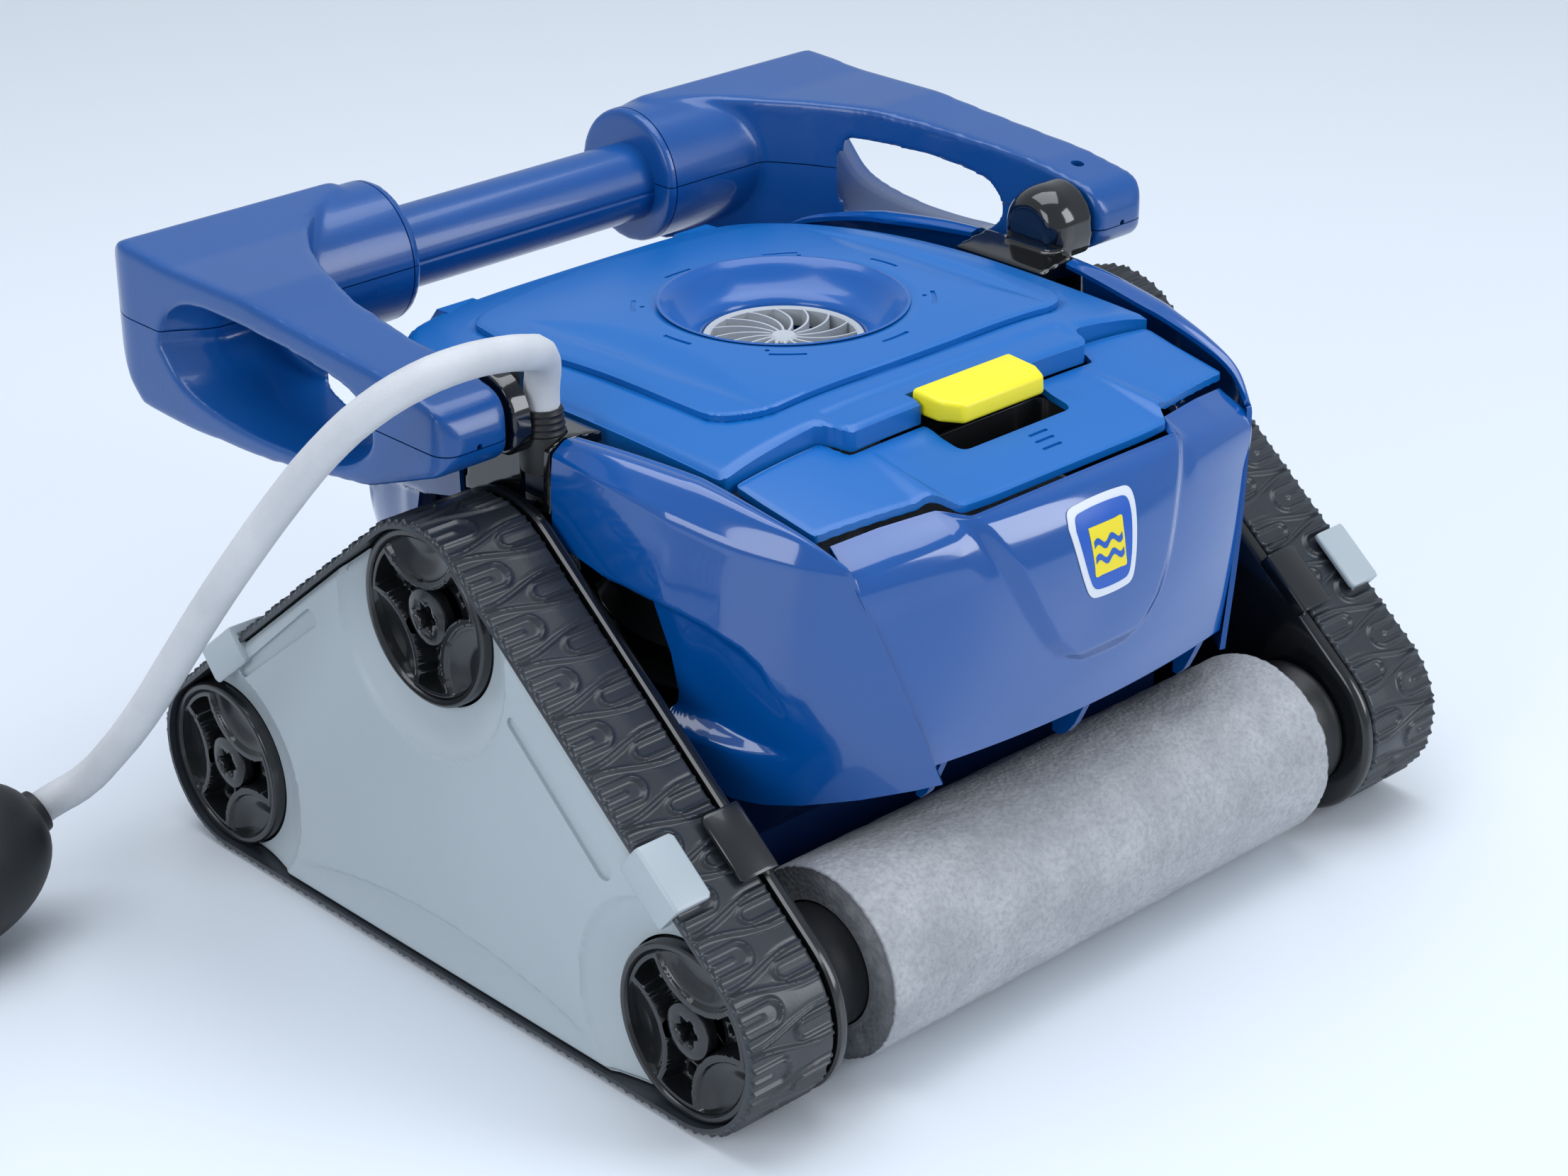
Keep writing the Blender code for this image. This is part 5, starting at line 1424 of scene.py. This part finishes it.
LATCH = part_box("latch_button")
REACH = LATCH[1].x
latch_plan = [
    (-REACH, -0.0925), (REACH, -0.0925), (REACH, -0.1085), (0.0245, -0.118), (-0.0225, -0.118),
    (-REACH, -0.1085),
]
latch = outline_prism("latch_button_moulding", latch_plan, 0.2286, LATCH[1].z, axis="Z")
for vertex in latch.data.vertices:
    if vertex.co.z > 0.235:
        vertex.co.z -= 0.075 * (-0.0925 - vertex.co.y)
        vertex.co.y += 0.0018 * (vertex.co.y < -0.11)
    elif vertex.co.y < -0.1:
        vertex.co.y += 0.001
round_edges(latch, 0.0021, 5, 20)
yellow_acetal = moulded("yellow_acetal", "#f2e21c", "#f7ea2a", 0.36, grain=0.0007, strength=0.15, mottle=18.0)
settle(latch, "latch", "latch_button", slot="yellow_plastic", look=yellow_acetal, smooth=40)

# ------------------------------------------------------------------ Pivot brackets
# Gloss black glass-filled nylon: a saddle between the fenders with a domed hood that holds the handle's pin.
# The cable comes up through the left one.

PIVOT_Z = middle_of("pivot_pin_right")[1]
DOME_Y = 0.004
DOME_RADIUS = 0.0178
GLAND_X, GLAND_Y = 0.15, -0.009
SADDLE = [(0.129, 0.2285), (0.1425, 0.2306), (0.149, 0.2312), (0.156, 0.227), (0.1572, 0.196), (0.1525, 0.196)]
SADDLE += [(0.1518, 0.2215), (0.129, 0.2235)]
gloss_nylon = moulded("gloss_black_nylon", "#08090a", "#101113", 0.12, mottle=30.0, coat=0.6)
for side, side_name in ((-1, "left"), (1, "right")):
    saddle = outline_prism("saddle", [(side * x, z) for x, z in SADDLE], -0.02, 0.033, axis="Y")

    def hood_form(u, v):
        """The hood: arched across and rounded over towards the robot's middle, with a foot that spreads."""
        share = min(max((v - 0.03) / 0.94, 0.0), 1.0)
        x = 0.1442 + 0.0243 * share
        swell = (1 - (1 - min(share / 0.62, 1.0)) ** 2.4) ** 0.5
        radius = DOME_RADIUS * (0.52 + 0.48 * swell) * (0.0 if v in (0, 1) else 1.0)
        turn = math.tau * u
        y, z = math.cos(turn), math.sin(turn)
        if z < 0:
            # Below the pin the hood runs straight down and spreads a little into the saddle.
            y = radius * math.copysign(abs(y) ** 0.35, y) * (1 - 0.1 * z)
            return Vector((side * x, DOME_Y + y, PIVOT_Z + 0.015 * z))
        return Vector((side * x, DOME_Y + radius * y, PIVOT_Z + (radius - 0.0004) * z))

    hood = skin("hood", 64, 26, hood_form)
    shape_with(saddle, hood, "UNION", "EXACT")
    modify(saddle, "REMESH", mode="VOXEL", voxel_size=0.001)
    modify(saddle, "SMOOTH", factor=0.5, iterations=4)
    mouth = rounded([(-0.03, 0.2318), (0.0002, 0.2318), (0.0002, 0.264), (-0.03, 0.264)], 0.004)
    if side < 0:
        low, high = -0.1598, -0.13
        shape_with(saddle, outline_prism("mouth", mouth, low, high))
        drill(saddle, "Z", (-GLAND_X, GLAND_Y, 0), 0.0098, 0.19, 0.26, steps=48)
    saddle.name = f"pivot_bracket_{side_name}_moulding"
    settle(
        saddle, "hull", f"pivot_bracket_{side_name}", slot="gloss_black_plastic", look=gloss_nylon, smooth=45,
    )

# ------------------------------------------------------------------ Cable strain relief
# A tapered black rubber boot, 26 mm long, that grips the cable where it comes up through the bracket. It is
# moulded with fine rings, so that the cable bends there without a kink.


def boot_form(u, v):
    rows = [(0.216, CABLE / 2 + 0.0001), (0.216, 0.0094), (0.218, 0.0095), (0.23, 0.0094)]
    for k in range(12):
        share = k / 11
        rows.append((0.231 + 0.01 * share, 0.0092 - 0.001 * share + (0.00035 if k % 3 == 1 else -0.0002)))
    rows += [(0.2418, 0.0079), (0.242, CABLE / 2 + 0.0001), (0.216, CABLE / 2 + 0.0001)]
    z, radius = rows[round(v * (len(rows) - 1))]
    return Vector((-GLAND_X + radius * math.cos(math.tau * u), GLAND_Y + radius * math.sin(math.tau * u), z))


boot = skin("cable_strain_relief", 48, 18, boot_form)
boot_rubber = moulded("black_boot_rubber", "#121314", "#1b1c1e", 0.5, grain=0.0006, strength=0.3)
settle(boot, "hull", "cord_gland", slot="black_rubber", look=boot_rubber, smooth=40)

# ------------------------------------------------------------------ Handle
# A hollow float handle of lightly etched blue ABS. Each arm is two half shells that meet at a seam half way
# up, with a hand hole through its side and a round collar that takes the grip tube.

SEAM_Z = (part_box("arm_upper_right")[0].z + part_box("arm_lower_right")[1].z) / 2
GRIP_Y, GRIP_Z = middle_of("grip_tube")
COLLAR = (0, 0.197, 0.235)
# The arm from above: straight beside the body, then round the rear corner to the collar.
ARM_PLAN = [
    (0.1708, -0.0125), (0.1745, -0.016), (0.1985, -0.016), (0.204, -0.0105), (0.204, 0.204), (0.196, 0.219),
]
ARM_PLAN += [(0.18, 0.227), (0.115, 0.229), (0.09, 0.229), (0.09, 0.196), (0.102, 0.1925), (0.116, 0.183)]
ARM_PLAN += [(0.13, 0.169), (0.144, 0.148), (0.156, 0.122), (0.1655, 0.09), (0.1708, 0.045)]
# And from the side: round at the pivot, deepest at the rear.
ARM_SIDE = arc_points((0, PIVOT_Z), 0.016, 100, 250, 14)
ARM_SIDE += [(0.036, 0.209), (0.105, 0.199), (0.16, 0.1965), (0.195, 0.1975), (0.219, 0.22), (0.2293, 0.239)]
ARM_SIDE += [(0.221, 0.26), (0.205, 0.269), (0.167, 0.2665), (0.117, 0.267), (0.088, 0.2645), (0.022, 0.26)]
HAND_HOLE = [(0.177, 0.23), (0.17, 0.245), (0.15, 0.254), (0.11, 0.2545), (0.07, 0.2518), (0.044, 0.247)]
HAND_HOLE += [(0.033, 0.236), (0.036, 0.224), (0.056, 0.2125), (0.09, 0.2088), (0.127, 0.2088), (0.16, 0.215)]
VOXEL = 0.0014


def hole_form(u, v):
    """The hand hole's tool: wide at the arm's outer side and a little tighter within."""
    share = min(max((v - 0.05) / 0.9, 0.0), 1.0)
    y, z = bend([(a, b, 0) for a, b in [*HAND_HOLE, HAND_HOLE[0]]], u % 1.0)[:2]
    scale = 0.0 if v in (0, 1) else 1.04 - 0.2 * ramp(share, 0.1, 0.55)
    return Vector((0.215 - 0.064 * share, 0.104 + (y - 0.104) * scale, 0.232 + (z - 0.232) * scale))


arm = outline_prism("arm", rounded(ARM_PLAN, 0.006), 0.15, 0.3, axis="Z")
shape_with(arm, outline_prism("side", ARM_SIDE, 0.05, 0.25), "INTERSECT")
collar = [(0.0735, 0), (0.0735, 0.0322), (0.14, 0.0322), (0.14, 0)]
shape_with(arm, turned("collar", collar, 72, centre=COLLAR), "UNION")
modify(arm, "REMESH", mode="VOXEL", voxel_size=VOXEL)
modify(arm, "SMOOTH", factor=0.5, iterations=10)
shape_with(arm, skin("hand_hole", 60, 12, hole_form))
modify(arm, "REMESH", mode="VOXEL", voxel_size=VOXEL)
modify(arm, "SMOOTH", factor=0.5, iterations=2)
ring = [(0.0774, 0.0309), (0.0781, 0.0309), (0.0781, 0.034), (0.0774, 0.034), (0.0774, 0.0309)]
shape_with(arm, turned("ring", ring, 90, centre=COLLAR))
drill(arm, "Z", (0.1868, 0.0125, 0), 0.0031, 0.25, 0.27, steps=28)
drill(arm, "Y", (0.1868, 0, SEAM_Z + 0.001), 0.0014, -0.03, -0.01, steps=20)

# Etched ABS again, a touch more violet than the lid, with a thin gloss over the etching.
handle_blue = moulded(
    "etched_blue_abs", "#05478c", "#0a5097", 0.28, grain=0.0008, strength=0.1, mottle=16.0, coat=0.25,
)
for side, side_name in ((-1, "left"), (1, "right")):
    for half, low, high in (("upper", SEAM_Z + 0.0003, 0.29), ("lower", 0.18, SEAM_Z - 0.0003)):
        shell = arm.copy()
        shell.data = arm.data.copy()
        shell.name = f"arm_{half}_{side_name}_moulding"
        bpy.context.scene.collection.objects.link(shell)
        slab = [(0.06, -0.05), (0.25, -0.05), (0.25, 0.25), (0.06, 0.25)]
        shape_with(shell, outline_prism("half", slab, low, high, axis="Z"), "INTERSECT")
        round_edges(shell, 0.0004, 1, 65)
        if side < 0:
            shell.data.transform(Matrix.Diagonal((-1, 1, 1, 1)))
            shell.data.flip_normals()
        settle(
            shell, "handle", f"arm_{half}_{side_name}", slot="gloss_blue_plastic", look=handle_blue, smooth=40,
        )
bpy.data.objects.remove(arm)

# The grip is a tube between the collars, moulded in halves, with the seam's fine groove along it.
GRIP_HALF = 0.08
GRIP_RADIUS = 0.0188


def grip_form(u, v):
    turn = math.tau * u
    along, radius = GRIP_HALF * (2 * v - 1), GRIP_RADIUS
    groove = abs(radius * math.sin(turn) + 0.001)
    radius -= 0.0006 * (1 - ramp(groove, 0.0002, 0.0008)) * (1.0 if abs(math.cos(turn)) > 0.5 else 0.0)
    radius -= 0.016 * (abs(v - 0.5) > 0.4999)
    return Vector((along, GRIP_Y + radius * math.cos(turn), GRIP_Z + radius * math.sin(turn)))


grip = skin("grip_tube_moulding", 180, 60, grip_form)
settle(grip, "handle", "grip_tube", slot="gloss_blue_plastic", look=handle_blue, smooth=45)

# ------------------------------------------------------------------ Tub, tray and the works inside
# The dark blue polypropylene tub and tray, the steel pins and what the lid covers keep their engineered shapes:
# each gets its own finish here.


def finish_node(name, look):
    """Gives an engineered part its finish."""
    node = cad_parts[name]
    for slot in node.material_slots:
        slot.material = look


polypropylene = moulded(
    "dark_blue_polypropylene", "#011f4d", "#02265a", 0.42, grain=0.0009, strength=0.3, mottle=12.0,
)
for name in ("body_tub", "chassis_tray", "hinge_rail"):
    finish_node(name, polypropylene)

# Drawn stainless wire: bright, with fine marks round it from the die.
steel, tree, surface = blank_material("drawn_stainless_steel")
place = add_node(tree, "TexCoord")
WIRE_MARKS = 0.0006
stretch = add_node(tree, "Mapping", {"Vector": place.outputs["Object"], "Scale": (1.0, 18.0, 18.0)})
marks = add_node(tree, "TexNoise", {"Vector": stretch.outputs[0], "Scale": 0.05 / WIRE_MARKS, "Detail": 3.0})
tint = add_node(tree, "Mix", {0: marks.outputs[0], 6: srgb("#a9abae"), 7: srgb("#c9cbcd")}, data_type="RGBA")
gloss = add_node(tree, "MapRange", {0: marks.outputs[0], 3: 0.2, 4: 0.34})
tree.links.new(tint.outputs[2], surface.inputs["Base Color"])
tree.links.new(gloss.outputs[0], surface.inputs["Roughness"])
surface.inputs["Metallic"].default_value = 1.0
for name in ("lid_hinge_pin", "pivot_pin_left", "pivot_pin_right"):
    finish_node(name, steel)

potted = moulded("black_potted_housing", "#101214", "#1a1c1f", 0.46, grain=0.0012, strength=0.3)
for name in ("pump_motor", "traction_motor_left", "traction_motor_right"):
    finish_node(name, potted)
finish_node("impeller", moulded("grey_acetal", "#8f959b", "#9da3a8", 0.4, grain=0.0008, strength=0.1))
finish_node("intake_flap_front", boot_rubber)
finish_node("intake_flap_rear", boot_rubber)

# Woven polyester filter cloth over a frame: the weave is drawn at a 1.6 mm pitch, coarser than the real one.
filter_cloth, tree, surface = blank_material("woven_filter_cloth")
place = add_node(tree, "TexCoord")
WEAVE = 0.0016
threads = []
for axis in ("X", "Y", "Z"):
    wave = add_node(
        tree, "TexWave", {"Vector": place.outputs["Object"], "Scale": math.pi / 10 / WEAVE},
        bands_direction=axis,
    )
    threads.append(wave.outputs[0])
pair = add_node(tree, "Math", {0: threads[0], 1: threads[1]}, operation="MAXIMUM")
weave = add_node(tree, "Math", {0: pair.outputs[0], 1: threads[2]}, operation="MAXIMUM")
tint = add_node(tree, "Mix", {0: weave.outputs[0], 6: srgb("#9fa5ab"), 7: srgb("#dfe2e4")}, data_type="RGBA")
relief = add_node(tree, "Bump", {"Height": weave.outputs[0], "Strength": 0.6, "Distance": 0.0004})
tree.links.new(tint.outputs[2], surface.inputs["Base Color"])
tree.links.new(relief.outputs[0], surface.inputs["Normal"])
surface.inputs["Roughness"].default_value = 0.8
finish_node("filter_basket", filter_cloth)
